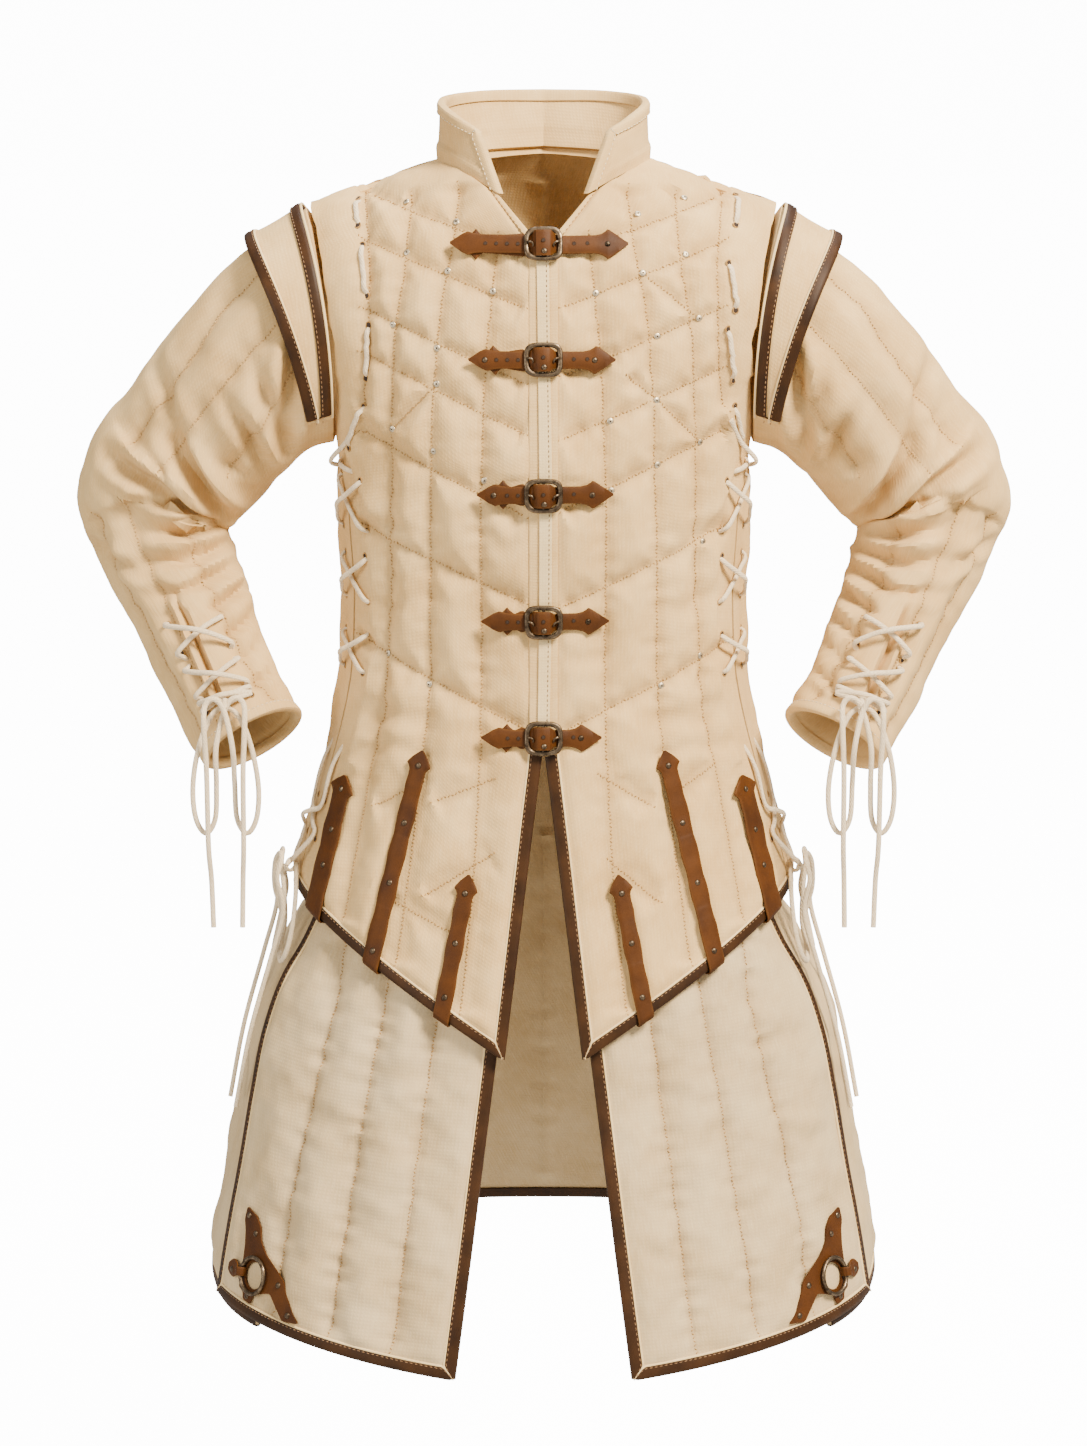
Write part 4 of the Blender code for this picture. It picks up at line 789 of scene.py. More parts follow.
def wovenCotton(name, colour, dark, pale, thread, paintedShadeColour, bump):
    # matt cotton: the weave breaks the light up; painted shade darkens the colour towards a warmer tone between
    # the threads and in the quilting's grooves and fold valleys
    finish, add, shader = newFinish(name, {"Roughness": 0.88, "Sheen Weight": 0.05, "Sheen Roughness": 0.45,
                                           "Sheen Tint": hexColour("#fff4e0"), "Specular IOR Level": 0.25})
    uv = add("ShaderNodeUVMap", uv_map="flat")
    place = add("ShaderNodeTexCoord").outputs["Object"]
    warp = add("ShaderNodeTexNoise", {"Vector": uv, "Scale": 260.0, "Detail": 2.0})
    bent = add("ShaderNodeVectorMath", {0: warp.outputs["Color"], 1: (0.0006, 0.0006, 0.0)},
               operation="MULTIPLY")
    woven = add("ShaderNodeVectorMath", {0: uv, 1: bent}, operation="ADD")
    scale = 1000 / thread / 20 * 2 * math.pi / 2    # the wave texture has 20 bands a unit at scale 1 over 2 pi
    threads = [add("ShaderNodeTexWave", {"Vector": woven, "Scale": scale, "Distortion": 0.6}, wave_type="BANDS",
                   bands_direction=way).outputs["Fac"] for way in "XY"]
    weave = add("ShaderNodeMath", {0: threads[0], 1: threads[1]}, operation="MULTIPLY")
    slubPlace = add("ShaderNodeMapping", {"Vector": uv, "Scale": (700.0, 90.0, 1.0)})
    slubs = add("ShaderNodeTexNoise", {"Vector": slubPlace, "Scale": 1.0, "Detail": 3.0})
    shade = mottled(add, place, 16.0, 5.0, 0.6, 0.35, 0.68, dark, colour)[2]
    grooveAndPaintedShade = add("ShaderNodeAttribute", attribute_name="grooveAndPaintedShade").outputs["Fac"]
    # the slubs mix in paler yarn; painted shade: the gaps between threads and the stored groove shade mix in
    # the darker shade colour
    for source, limits, tint in ((slubs, {"From Min": 0.45, "From Max": 0.8, "To Max": 0.32}, pale),
                                 (weave, {"To Min": 0.07, "To Max": 0.0}, paintedShadeColour),
                                 (grooveAndPaintedShade, {"To Max": 0.26}, paintedShadeColour)):
        share = add("ShaderNodeMapRange", {"Value": source, **limits})
        shade = add("ShaderNodeMix", {"Factor": share, 6: shade.outputs[2], 7: hexColour(tint)},
                    data_type="RGBA")
    fine = add("ShaderNodeTexNoise", {"Vector": place, "Scale": 140.0, "Detail": 4.0})
    relief = add("ShaderNodeMath", {0: slubs, 1: weave}, operation="ADD")
    both = add("ShaderNodeMath", {0: relief, 1: fine}, operation="ADD")
    return surfaced(finish, add, shader, shade, both, bump, 0.0006)


def grainedLeather(name, colour, dark, pale, rough, bump, edgeWear):
    # vegetable-tanned leather: fine grain, darker in its pores, rubbed paler along its edges
    finish, add, shader = newFinish(name, {"Coat Weight": 0.02, "Coat Roughness": 0.4,
                                           "Specular IOR Level": 0.18})
    place = add("ShaderNodeTexCoord").outputs["Object"]
    clouds, _, base = mottled(add, place, 45.0, 5.0, 0.5, 0.3, 0.7, dark, colour)
    side = add("ShaderNodeSeparateXYZ", {0: add("ShaderNodeUVMap", uv_map="flat")})
    off = add("ShaderNodeMath", {0: side.outputs["Y"]}, operation="ABSOLUTE")
    edge = add("ShaderNodeMapRange", {"Value": off, "From Min": 0.74, "From Max": 1.0, "To Max": edgeWear})
    rub = add("ShaderNodeTexNoise", {"Vector": place, "Scale": 160.0, "Detail": 3.0})
    worn = add("ShaderNodeMath", {0: edge, 1: rub}, operation="MULTIPLY")
    rubbed = add("ShaderNodeMix", {"Factor": worn, 6: base.outputs[2], 7: hexColour(pale)}, data_type="RGBA")
    pores = add("ShaderNodeTexVoronoi", {"Vector": place, "Scale": 900.0},
                feature="DISTANCE_TO_EDGE")    # pores about 1 mm apart, drawn twice as coarse as real
    pit = add("ShaderNodeMapRange", {"Value": pores, "From Max": 0.12, "To Min": 0.28, "To Max": 0.0})
    pitted = add("ShaderNodeMix", {"Factor": pit, 6: rubbed.outputs[2], 7: hexColour(dark)}, data_type="RGBA")
    matt = add("ShaderNodeMapRange", {"Value": clouds, "To Min": rough - 0.08, "To Max": rough + 0.1})
    height = add("ShaderNodeMath", {0: rub, 1: pores}, operation="ADD")
    return surfaced(finish, add, shader, pitted, height, bump, 0.0005, matt)


def twistedCord(name, colour, dark):
    # soft cotton cord: plied strands run round it at a slant
    finish, add, shader = newFinish(name, {"Roughness": 0.9, "Sheen Weight": 0.25, "Specular IOR Level": 0.2})
    uv = add("ShaderNodeUVMap", uv_map="flat")
    slant = add("ShaderNodeMapping", {"Vector": uv, "Scale": (1.0, 2.2, 1.0)})
    strands = add("ShaderNodeTexWave", {"Vector": slant, "Scale": 160.0}, wave_type="BANDS",
                  bands_direction="DIAGONAL")    # a strand about every 2 mm
    place = add("ShaderNodeTexCoord").outputs["Object"]
    fluff, _, base = mottled(add, place, 700.0, 3.0, 0.5, 0.3, 0.7, dark, colour)
    both = add("ShaderNodeMath", {0: strands.outputs["Fac"], 1: fluff}, operation="ADD")
    return surfaced(finish, add, shader, base, both, 0.5, 0.0005)


def castMetal(name, colour, dark, bright, rough, mottleScale):
    # cast and antiqued metal: dark patina in the hollows, bright where it is rubbed
    finish, add, shader = newFinish(name, {"Metallic": 1.0})
    place = add("ShaderNodeTexCoord").outputs["Object"]
    patina, tone, base = mottled(add, place, mottleScale, 6.0, 0.65, 0.36, 0.6, dark, colour)
    rub = add("ShaderNodeMapRange", {"Value": patina, "From Min": 0.58, "From Max": 0.74, "To Max": 0.8})
    worn = add("ShaderNodeMix", {"Factor": rub, 6: base.outputs[2], 7: hexColour(bright)}, data_type="RGBA")
    matt = add("ShaderNodeMapRange", {"Value": tone, "To Min": rough + 0.16, "To Max": rough - 0.06})
    return surfaced(finish, add, shader, worn, patina, 0.25, 0.0004, matt)


# the threads lie 1.2 or 1.5 mm apart, three times as coarse as real ones, so that the weave shows
quiltedCanvas = wovenCotton("quiltedCottonCanvas", "#dcbb81", "#cba76c", "#e5cd9e", 1.5, "#7b5a30", 0.24)
skirtCanvas = wovenCotton("skirtCottonCanvas", "#cdb78f", "#bda479", "#dac9a5", 1.5, "#70583a", 0.24)
bindingTape = wovenCotton("foldedCottonTape", "#dabb82", "#caa76d", "#e5cea0", 1.2, "#836136", 0.24)
pipingTape = wovenCotton("creamCottonPiping", "#e2ca9a", "#d3b985", "#eddbb3", 1.2, "#a17e4c", 0.22)
bridle = grainedLeather("smoothBridleLeather", "#3a2209", "#241304", "#5f3f18", 0.52, 0.2, 0.28)
strapHide = grainedLeather("vegetableTannedStrap", "#4f2b04", "#391d03", "#7a501c", 0.6, 0.28, 0.35)
bronze = castMetal("antiquedCastBronze", "#6e604f", "#3c3228", "#9b8a71", 0.42, 220.0)
paleSteel = castMetal("tinnedSteelStud", "#cdc1a8", "#9a8e76", "#eae2d0", 0.44, 800.0)
laceCord = twistedCord("flatBraidedLace", "#e6d6b9", "#d0bb95")
# darker than the cloth: partly the thread's own colour, partly painted shade where the stitches sink into the
# quilt
sewingThread = twistedCord("waxedSewingThread", "#ab8449", "#8e6933")
sleeveThread = twistedCord("paleWaxedThread", "#c4a066", "#a8854e")
paleThread = twistedCord("creamSewingThread", "#e9dcbf", "#cdbb95")
brownThread = twistedCord("brownSaddlersThread", "#8a6a48", "#6d5034")
# painted shadow: a dark finish stands in for the shade inside holes and pits
paintedHoleShadow = newFinish("shadowedEyelet", {"Roughness": 0.9, "Base Color": hexColour("#2a1c12")})[0]
print("finishes ready")


def newTree(name, sizes, finishes):
    tree = bpy.data.node_groups.new(name, "GeometryNodeTree")
    kinds = [("Geometry", "Geometry", None)] + [(label, "Float", value) for label, value in sizes.items()]
    for label, kind, value in kinds + [(label, "Material", None) for label in finishes]:
        socket = tree.interface.new_socket(label, in_out="INPUT", socket_type="NodeSocket" + kind)
        if value is not None:
            socket.default_value = value
    tree.interface.new_socket("Geometry", in_out="OUTPUT", socket_type="NodeSocketGeometry")
    add = partial(addNode, tree)
    return tree, add, add("NodeGroupInput").outputs, add("NodeGroupOutput")


def upright(add, forward=None):    # turns a copy to stand out of the cloth, along its stored direction
    away = add("GeometryNodeInputNamedAttribute", {"Name": "away"}, data_type="FLOAT_VECTOR")
    if forward is None:
        return add("FunctionNodeAlignRotationToVector", {"Vector": away}, axis="Z")
    first = add("FunctionNodeAlignRotationToVector", {"Vector": forward}, axis="X")
    return add("FunctionNodeAlignRotationToVector", {"Rotation": first, "Vector": away}, axis="Z",
               pivot_axis="X")


def copiesOn(add, points, shape, turn, size, material):    # copies of a shape stood on points, made real
    copies = add("GeometryNodeInstanceOnPoints", {"Points": points, "Instance": shape, "Rotation": turn,
                                                  "Scale": size})
    solid = add("GeometryNodeRealizeInstances", {0: copies})
    return add("GeometryNodeSetMaterial", {"Geometry": solid, "Material": material})


def joined(tree, add, done, parts):
    both = add("GeometryNodeJoinGeometry")
    for part in parts:
        tree.links.new(part.outputs[0], both.inputs[0])
    tree.links.new(add("GeometryNodeSetShadeSmooth", {"Geometry": both}).outputs[0], done.inputs[0])
    return tree


def stitchTree():
    tree, add, start, done = newTree("sewnStitches", {"Spacing": 0.0036, "Length": 0.0026, "Width": 0.0009,
                                                      "Slant": 0.5}, ["Thread"])
    curve = add("GeometryNodeMeshToCurve", {0: start["Geometry"]})
    even = add("GeometryNodeResampleCurve", {"Curve": curve, "Length": start["Spacing"]}, mode="LENGTH")
    turn = upright(add, add("GeometryNodeInputTangent"))
    odd = add("ShaderNodeMath", {0: add("GeometryNodeInputIndex"), 1: 2.0}, operation="MODULO")
    swing = add("ShaderNodeMath", {0: odd, 1: 2.0, 2: -1.0}, operation="MULTIPLY_ADD")
    slant = add("ShaderNodeMath", {0: swing, 1: start["Slant"]}, operation="MULTIPLY")
    twist = add("FunctionNodeAxisAngleToRotation", {"Axis": (0.0, 0.0, 1.0), "Angle": slant})
    turned = add("FunctionNodeRotateRotation", {"Rotation": turn, "Rotate By": twist}, rotation_space="LOCAL")
    ball = add("GeometryNodeMeshIcoSphere", {"Radius": 0.5, "Subdivisions": 1})
    size = add("ShaderNodeCombineXYZ", {0: start["Length"], 1: start["Width"], 2: start["Width"]})
    painted = copiesOn(add, even, ball, turned, size, start["Thread"])
    tree.links.new(painted.outputs[0], done.inputs[0])
    return tree


def studTree():    # a low dome with a small dark dot on its top, painted shadow in its pit
    tree, add, start, done = newTree("domedStuds", {"Radius": 0.0024, "Rise": 0.0016, "Pit": 0.0},
                                     ["Metal", "Inside"])
    ball = add("GeometryNodeMeshUVSphere", {"Segments": 16, "Rings": 8, "Radius": 1.0})
    size = add("ShaderNodeCombineXYZ", {0: start["Radius"], 1: start["Radius"], 2: start["Rise"]})
    metal = copiesOn(add, start["Geometry"], ball, upright(add), size, start["Metal"])
    away = add("GeometryNodeInputNamedAttribute", {"Name": "away"}, data_type="FLOAT_VECTOR")
    lifted = add("ShaderNodeVectorMath", {0: away, "Scale": start["Rise"]}, operation="SCALE")
    tops = add("GeometryNodeSetPosition", {"Geometry": start["Geometry"], "Offset": lifted})
    dot = add("GeometryNodeMeshUVSphere", {"Segments": 8, "Rings": 4, "Radius": 1.0})
    flat = add("ShaderNodeCombineXYZ", {0: start["Pit"], 1: start["Pit"], 2: 0.0002})
    return joined(tree, add, done, (metal, copiesOn(add, tops, dot, upright(add), flat, start["Inside"])))


def eyeletTree():    # a sewn rim round a dark disc, painted shadow in the hole
    tree, add, start, done = newTree("sewnEyelets", {"Radius": 0.002, "Rim": 0.0007}, ["Edge", "Inside"])
    ringLine = add("GeometryNodeCurvePrimitiveCircle", {"Resolution": 14, "Radius": start["Radius"]})
    profile = add("GeometryNodeCurvePrimitiveCircle", {"Resolution": 6, "Radius": start["Rim"]})
    rim = add("GeometryNodeCurveToMesh", {"Curve": ringLine, "Profile Curve": profile})
    ball = add("GeometryNodeMeshUVSphere", {"Segments": 12, "Rings": 6, "Radius": start["Radius"]})
    flat = add("GeometryNodeTransform", {"Geometry": ball, "Scale": (1.0, 1.0, 0.2)})
    parts = [copiesOn(add, start["Geometry"], shape, upright(add), (1.0, 1.0, 1.0), start[word])
             for shape, word in ((rim, "Edge"), (flat, "Inside"))]
    return joined(tree, add, done, parts)


trees = {"stitches": stitchTree(), "studs": studTree(), "eyelets": eyeletTree()}


def grown(name, lines, tree, inputs):
    # lines are (points, directions) runs; the tree's result is kept as a plain mesh
    vertices = np.concatenate([p for p, _ in lines])
    away = np.concatenate([n for _, n in lines])
    edges = []
    start = 0
    for points, _ in lines if tree == "stitches" else ():
        edges += [(start + i, start + i + 1) for i in range(len(points) - 1)]
        start += len(points)
    mesh = bpy.data.meshes.new(name)
    mesh.from_pydata(vertices.tolist(), edges, [])
    layer = mesh.attributes.new("away", "FLOAT_VECTOR", "POINT")
    layer.data.foreach_set("vector", away.astype(np.float32).ravel())
    seedPiece = newObject(name + "Seed", mesh)
    modifier = seedPiece.modifiers.new("grow", "NODES")
    modifier.node_group = trees[tree]
    for item in trees[tree].interface.items_tree:
        if item.item_type == "SOCKET" and item.in_out == "INPUT" and item.name in inputs:
            modifier[item.identifier] = inputs[item.name]
    bpy.context.view_layer.update()
    evaluated = seedPiece.evaluated_get(bpy.context.evaluated_depsgraph_get())
    made = bpy.data.meshes.new_from_object(evaluated)
    made.name = name
    bpy.data.objects.remove(seedPiece)
    if tree == "stitches":
        made.shade_smooth()
    return rides(newObject(name, made))


def sewAlong(name, panel, tree, lines, thread, lift=0.0002):
    runs = []
    for line in lines:
        spots = spotsOn(tree, line, 0.004)
        normal = unit(layerAt(panel["normals"], spots))
        runs.append((layerAt(panel["outside"], spots) + normal * lift, normal))
    return grown(name, runs, "stitches", {"Spacing": cloth["stitch"], "Length": 0.0028, "Width": 0.001,
                                          "Slant": 0.85, "Thread": thread})


def seatedOn(panel, tree, places, lift):    # single places on the cloth, with their directions
    spots = [spotsOn(tree, [(x, z), (x + 1e-5, z)], 1.0)[0] for x, z in places]
    normal = unit(layerAt(panel["normals"], spots))
    return [(layerAt(panel["outside"], spots) + normal * lift, normal)]


# upright quilting lines of a front as (x, z) points for the wearer's left, the last beside the armhole
uprights = mm((
    ((36, -60), (41, -105), (47, -165), (51, -270), (51, -470), (58, -600), (68, -690)),
    ((68, -26), (73, -70), (83, -120), (90, -200), (93, -300), (94, -430), (106, -550), (121, -655)),
    ((107, -30), (112, -90), (122, -150), (125, -235), (126, -330), (130, -430), (148, -530), (166, -628)),
    ((147, -30), (141, -90), (143, -150), (148, -205))))
# height at the middle upright, fall towards the centre, outer end
chevrons = {
    "left": ((-0.052, 0.34, 0.15), (-0.09, 0.38, 0.15), (-0.143, 0.4, 0.148), (-0.193, 0.4, 0.15),
             (-0.247, 0.45, 0.15), (-0.327, 0.44, 0.152), (-0.428, 0.46, 0.158)),
    "right": ((-0.05, 0.36, 0.15), (-0.089, 0.4, 0.15), (-0.146, 0.44, 0.148), (-0.184, 0.46, 0.15),
              (-0.25, 0.47, 0.15), (-0.325, 0.42, 0.152), (-0.424, 0.48, 0.158)),
}
slants = mm({
    "left": (
        ((80, -92), (126, -129)), ((66, -172), (92, -192), (129, -230)), ((44, -497), (90, -525)),
        ((52, -565), (95, -602)), ((100, -520), (142, -496))),
    "right": (
        ((86, -180), (124, -219)), ((40, -500), (91, -522)), ((40, -560), (98, -597)),
        ((98, -505), (140, -530)), ((75, -625), (130, -600))),
})
# soft creases: x and z of three points, depth, width
frontFolds = mm({
    "left": (
        (150, -290, 128, -305, 102, -300, 1.6, 6), (156, -345, 126, -362, 96, -366, 2.2, 7),
        (158, -445, 130, -458, 85, -452, 2.4, 8), (165, -482, 120, -478, 80, -486, 1.8, 6),
        (150, -212, 132, -226, 118, -252, 1.8, 6), (60, -395, 30, -404, 10, -398, 1.2, 6)),
    "right": (
        (150, -300, 120, -296, 96, -304, 2, 6), (156, -362, 122, -366, 90, -356, 1.8, 7),
        (160, -458, 124, -452, 75, -462, 2.6, 8), (166, -497, 126, -478, 90, -480, 2, 6),
        (150, -205, 136, -222, 112, -238, 1.6, 6), (55, -300, 32, -310, 10, -306, 1.2, 6)),
})
frontLook = {"width": 0.0044, "puffWidth": 0.015, "depth": 0.0027, "puff": 0.0066, "pucker": 0.0013,
             "uneven": 0.001, "unevenSize": 0.06}
# height, reach to the wearer's right, reach to the left
closures = mm((
    (-71.5, 73.5, 67), (-161, 59, 57), (-267, 52, 55), (-371, 49, 52), (-467, 49.5, 46.5)))
skirtStraps = mm((
    ("inner", 59.9, -578, 82.5, 4.8), ("middle", 96.9, -480.6, 140, 5.8),
    ("outer", 160.6, -510.7, 188.5, 7.2)))


def chevronLine(height, fall, outer, signX):
    inner = 0.013
    middle = 0.09
    return [(signX * x, height + fall * (x - middle)) for x in (inner, middle, outer)]


def flipX(line, signX):
    return [(signX * x, z) for x, z in line]


def flipped(lines, signX):
    return [flipX(line, signX) for line in lines]


def bothHalves(line, rows):    # a line on each side, and one only where it runs down the middle
    for x in rows:
        for signX in ((1,) if x == 0 else (1, -1)):
            yield flipX(line(x), signX)


def foldsOn(rows, signX=1):
    return [([(signX * x, z) for x, z in (row[:2], row[2:4], row[4:6])], *row[6:]) for row in rows]


def openingLine(panel, column):    # the part of a side edge that is laced
    line = panel["points"][:, column]
    return line[(line[:, 2] < -0.2) & (line[:, 2] > -0.62)]


fronts = {}
for side, signX, panel in pair(coatFrontPanel()):
    tree = finder(panel)
    lines = flipped(uprights, signX) + [chevronLine(*row, signX) for row in chevrons[side]]
    lines += flipped(slants[side], signX)
    held = [([(0.004, row[0]), (row[2 if signX > 0 else 1], row[0])], 0.01) for row in closures]
    held += [([(x, z), (hemX, frontCorner[1] + hemRise * (hemX - frontCorner[0]))], 0.008)
             for word, x, z, hemX, under in skirtStraps]
    pressed = [(layerAt(panel["points"], spotsOn(tree, flipX(line, signX), 0.008)), reach)
               for line, reach in held]
    pressed.append((openingLine(panel, -1), 0.022))
    quilt(panel, tree, lines, foldsOn(frontFolds[side], signX), 3 if side == "left" else 4, frontLook, pressed)
    piece = gridShell(f"quiltedFront_{side}", panel, quiltedCanvas, f"front_{side}")
    fronts[side] = (panel, tree, piece)
    sewAlong(f"frontQuilting_{side}", panel, tree, lines, sewingThread)
print("fronts quilted")

backSeams = list(bothHalves(lambda x: ((x, -0.02), (x * 1.02, -0.11), (x * 1.03, -0.23), (x * 0.98, -0.36),
                                       (x * 1.06, -0.48), (x * 1.3, -0.636)), (0.0, 0.048, 0.094, 0.132)))
for number, height in enumerate((-0.075, -0.13, -0.185, -0.245, -0.305, -0.37, -0.44, -0.51, -0.575)):
    for signX in (1, -1):
        wobble = 0.003 * math.sin(number * 2.3 + signX)
        backSeams.append([(signX * x, height + wobble + 0.36 * x) for x in (0.002, 0.07, 0.14)])
backFolds = mm((
    (-150, -345, -80, -362, 10, -355, 2.4, 7), (155, -385, 90, -372, 20, -382, 2.2, 7),
    (-155, -425, -100, -410, -40, -420, 1.8, 6), (150, -440, 70, -425, -10, -436, 2, 7),
    (145, -200, 120, -240, 100, -290, 1.8, 7), (-145, -205, -125, -250, -110, -280, 2.2, 7),
    (-60, -100, 10, -112, 60, -104, 1.2, 8)))
back = coatBackPanel()
backTree = finder(back)
quilt(back, backTree, backSeams, foldsOn(backFolds), 9, frontLook,
      [(openingLine(back, 0), 0.022), (openingLine(back, -1), 0.022)])
backPiece = gridShell("quiltedBack", back, quiltedCanvas, "back")
sewAlong("backQuilting", back, backTree, backSeams, sewingThread)
print("back quilted")

# drawn as seen from straight in front; both faces have the same seams, each its own folds
sleeveSeams = mm((
    ((214, -80), (262, -123), (300, -181), (345, -243)),
    ((201, -120), (240, -160), (285, -215), (318, -262)), ((196, -165), (228, -215), (262, -262)),
    ((352, -285), (337, -324), (313, -375), (285, -432), (262, -478)),
    ((378, -300), (362, -345), (332, -398), (300, -452), (276, -492)),
    ((300, -300), (285, -345), (262, -390), (238, -430), (218, -455))))
sleeveFolds = mm({
    "front": (
        (268, -300, 292, -262, 314, -226, 6, 7.5), (272, -296, 300, -236, 318, -172, 3, 8),
        (276, -302, 316, -276, 362, -246, 5, 8), (276, -308, 304, -293, 334, -280, 4.6, 6),
        (274, -318, 302, -316, 334, -308, 4, 6), (268, -332, 300, -338, 345, -334, 3.8, 7),
        (262, -346, 292, -360, 330, -362, 3, 6), (380, -325, 350, -338, 318, -352, 2.6, 6),
        (247, -356, 262, -372, 282, -380, 3, 5), (239, -381, 256, -394, 270, -402, 2.6, 4.5),
        (231, -402, 244, -412, 258, -420, 2.4, 4), (222, -424, 236, -432, 246, -440, 2, 4),
        (199, -130, 207, -180, 214, -236, 4.4, 7), (216, -240, 222, -205, 236, -170, 3.2, 7),
        (232, -258, 246, -222, 262, -198, 2.6, 7), (308, -362, 281, -418, 254, -474, 4, 3.4)),
    "back": (
        (270, -300, 300, -270, 330, -240, 5, 8), (274, -312, 310, -300, 350, -290, 4.6, 7),
        (270, -326, 300, -330, 340, -326, 4, 7), (262, -345, 292, -356, 330, -352, 2.8, 6),
        (204, -120, 212, -175, 216, -232, 4, 7), (240, -262, 252, -225, 272, -190, 2.8, 7),
        (250, -372, 272, -386, 292, -392, 2.2, 5)),
})
sleeveLook = {"width": 0.0058, "puffWidth": 0.02, "depth": 0.0026, "puff": 0.0068, "pucker": 0.0013,
              "uneven": 0.0014, "unevenSize": 0.06, "foldDepth": 2.3}


def quiltSleeve(panel, signX, seed):
    # both faces are shaped in turn, and each keeps to its own half of the tube
    facing = panel["normals"][..., 1] < 0.05
    trees = {"front": finder(panel, facing), "back": finder(panel, ~facing)}
    swell = np.zeros(facing.shape)
    grooveAndPaintedShade = np.zeros(facing.shape)
    toFront = smooth(-0.35, 0.35, -panel["normals"][..., 1])
    for face in ("front", "back"):
        seams = flipped(sleeveSeams, signX)
        shift = 0.004 if signX < 0 else 0.0
        folds = [([(signX * x, z - shift * math.sin(40 * x)) for x, z in line],
                  depth * (1 + 0.18 * math.sin(i * 2.1 + seed)), width * 0.85)
                 for i, (line, depth, width) in enumerate(foldsOn(sleeveFolds[face]))]
        cuffLine = np.array([sleevePoint(station, math.pi / 2) for station in np.linspace(9.7, 11.6, 12)])
        quilt(panel, trees[face], seams, folds, seed + (5 if face == "back" else 0), sleeveLook,
              [(cuffLine * (signX, 1, 1), 0.024)])
        own = toFront if face == "front" else 1 - toFront
        swell += panel["swell"] * own
        grooveAndPaintedShade += panel["grooveAndPaintedShade"] * own
    panel["swell"] = swell
    panel["grooveAndPaintedShade"] = grooveAndPaintedShade
    return trees


sleeves = {}
for side, signX, panel in pair(sleevePanel()):
    faceTrees = quiltSleeve(panel, signX, 21 if side == "left" else 34)
    piece = gridShell(f"quiltedSleeve_{side}", panel, quiltedCanvas, f"sleeve_{side}")
    for face, tree in faceTrees.items():
        sewAlong(f"sleeveQuilting_{side}_{face}", panel, tree, flipped(sleeveSeams, signX), sleeveThread,
                 0.0004)
    sleeves[side] = (panel, piece)
print("sleeves quilted")

skirtSeams = mm((
    ((166, -640), (172, -690), (196, -790), (214, -874), (226, -955)),
    ((124, -640), (132, -690), (154, -810), (178, -960)), ((82, -650), (90, -710), (108, -840), (126, -968))))
skirtFolds = mm({
    "left": (
        (100, -760, 125, -768, 150, -764, 1.6, 8), (160, -720, 178, -728, 200, -722, 1.8, 7),
        (150, -850, 170, -856, 192, -850, 1.4, 7), (80, -880, 95, -886, 112, -880, 1.6, 7),
        (105, -905, 135, -912, 160, -905, 1.8, 8), (200, -800, 220, -812, 240, -806, 1.6, 7)),
    "right": (
        (95, -740, 110, -748, 130, -742, 1.8, 7), (150, -780, 172, -790, 195, -783, 1.6, 8),
        (140, -900, 160, -908, 180, -900, 1.4, 7), (100, -830, 122, -838, 145, -830, 1.6, 7),
        (190, -870, 212, -878, 232, -872, 1.8, 8)),
})
skirtLook = {"width": 0.004, "puffWidth": 0.015, "depth": 0.0026, "puff": 0.0062, "pucker": 0.0022,
             "uneven": 0.0018, "unevenSize": 0.06, "under": -0.0008}
ringPlace = (math.radians(54.5), -0.925)
skirtPanels = {}
for side, signX, panel in pair(skirtFrontPanel()):
    tree = finder(panel)
    seams = flipped(skirtSeams, signX)
    corner = skirtPoint(*ringPlace) * (signX, 1, 1)
    pressed = [(np.array([corner + (0, 0, 0.035), corner - (0, 0, 0.035)]), 0.03)]
    quilt(panel, tree, seams, foldsOn(skirtFolds[side], signX), 41 if side == "left" else 52, skirtLook,
          pressed)
    piece = gridShell(f"skirtFront_{side}", panel, skirtCanvas, f"skirt_front_{side}")
    sewAlong(f"skirtQuilting_{side}", panel, tree, seams, sewingThread)
    skirtPanels[side] = (panel, piece)

backSkirt = skirtBackPanel()
backSkirtTree = finder(backSkirt, backSkirt["points"][..., 1] > 0.0)
backSkirtSeams = list(bothHalves(lambda x: ((x, -0.6), (x * 1.12, -0.72), (x * 1.28, -0.85),
                                            (x * 1.42, -0.955)),
                                 (0.0, 0.045, 0.09, 0.135, 0.176)))
backSkirtFolds = mm((
    (-150, -700, -100, -712, -60, -705, 1.8, 9), (40, -740, 90, -752, 140, -744, 1.8, 9),
    (-80, -830, -30, -842, 20, -835, 1.6, 9), (100, -880, 150, -890, 190, -882, 1.8, 9),
    (-200, -900, -150, -912, -110, -905, 2, 9)))
quilt(backSkirt, backSkirtTree, backSkirtSeams, foldsOn(backSkirtFolds), 63, skirtLook)
backSkirtPiece = gridShell("skirtBack", backSkirt, skirtCanvas, "skirt_back")
sewAlong("skirtBackQuilting", backSkirt, backSkirtTree, backSkirtSeams, sewingThread)
print("skirts quilted")

collar = collarPanel()
rowsUp = np.linspace(0, 1, 20)[:, None] * np.ones((1, 121))
bandLine = np.exp(-((rowsUp - 0.3) / 0.05) ** 2)
calm = smooth(0.006, 0.014, collar["edgeGap"])
swell = 0.0016 * smooth(0.0, 0.25, rowsUp) * (1 - smooth(0.28, 0.36, rowsUp)) - 0.0009 * bandLine
collar["swell"] = swell * calm
# painted shade darkens the colour along the band's groove
collar["grooveAndPaintedShade"] = bandLine * 0.8 * calm
collarPiece = gridShell("standCollar", collar, quiltedCanvas, "collar")

wings = {}
for side, signX, panel in pair(wingPanel()):
    piece = gridShell(f"shoulderWing_{side}", panel, quiltedCanvas, f"wing_{side}")
    wings[side] = (panel, piece)
print("collar and wings ready")

trim = {"air": 0.0006, "thick": 0.0011, "width": 0.0088, "wing": 0.0078, "cuff": 0.007}


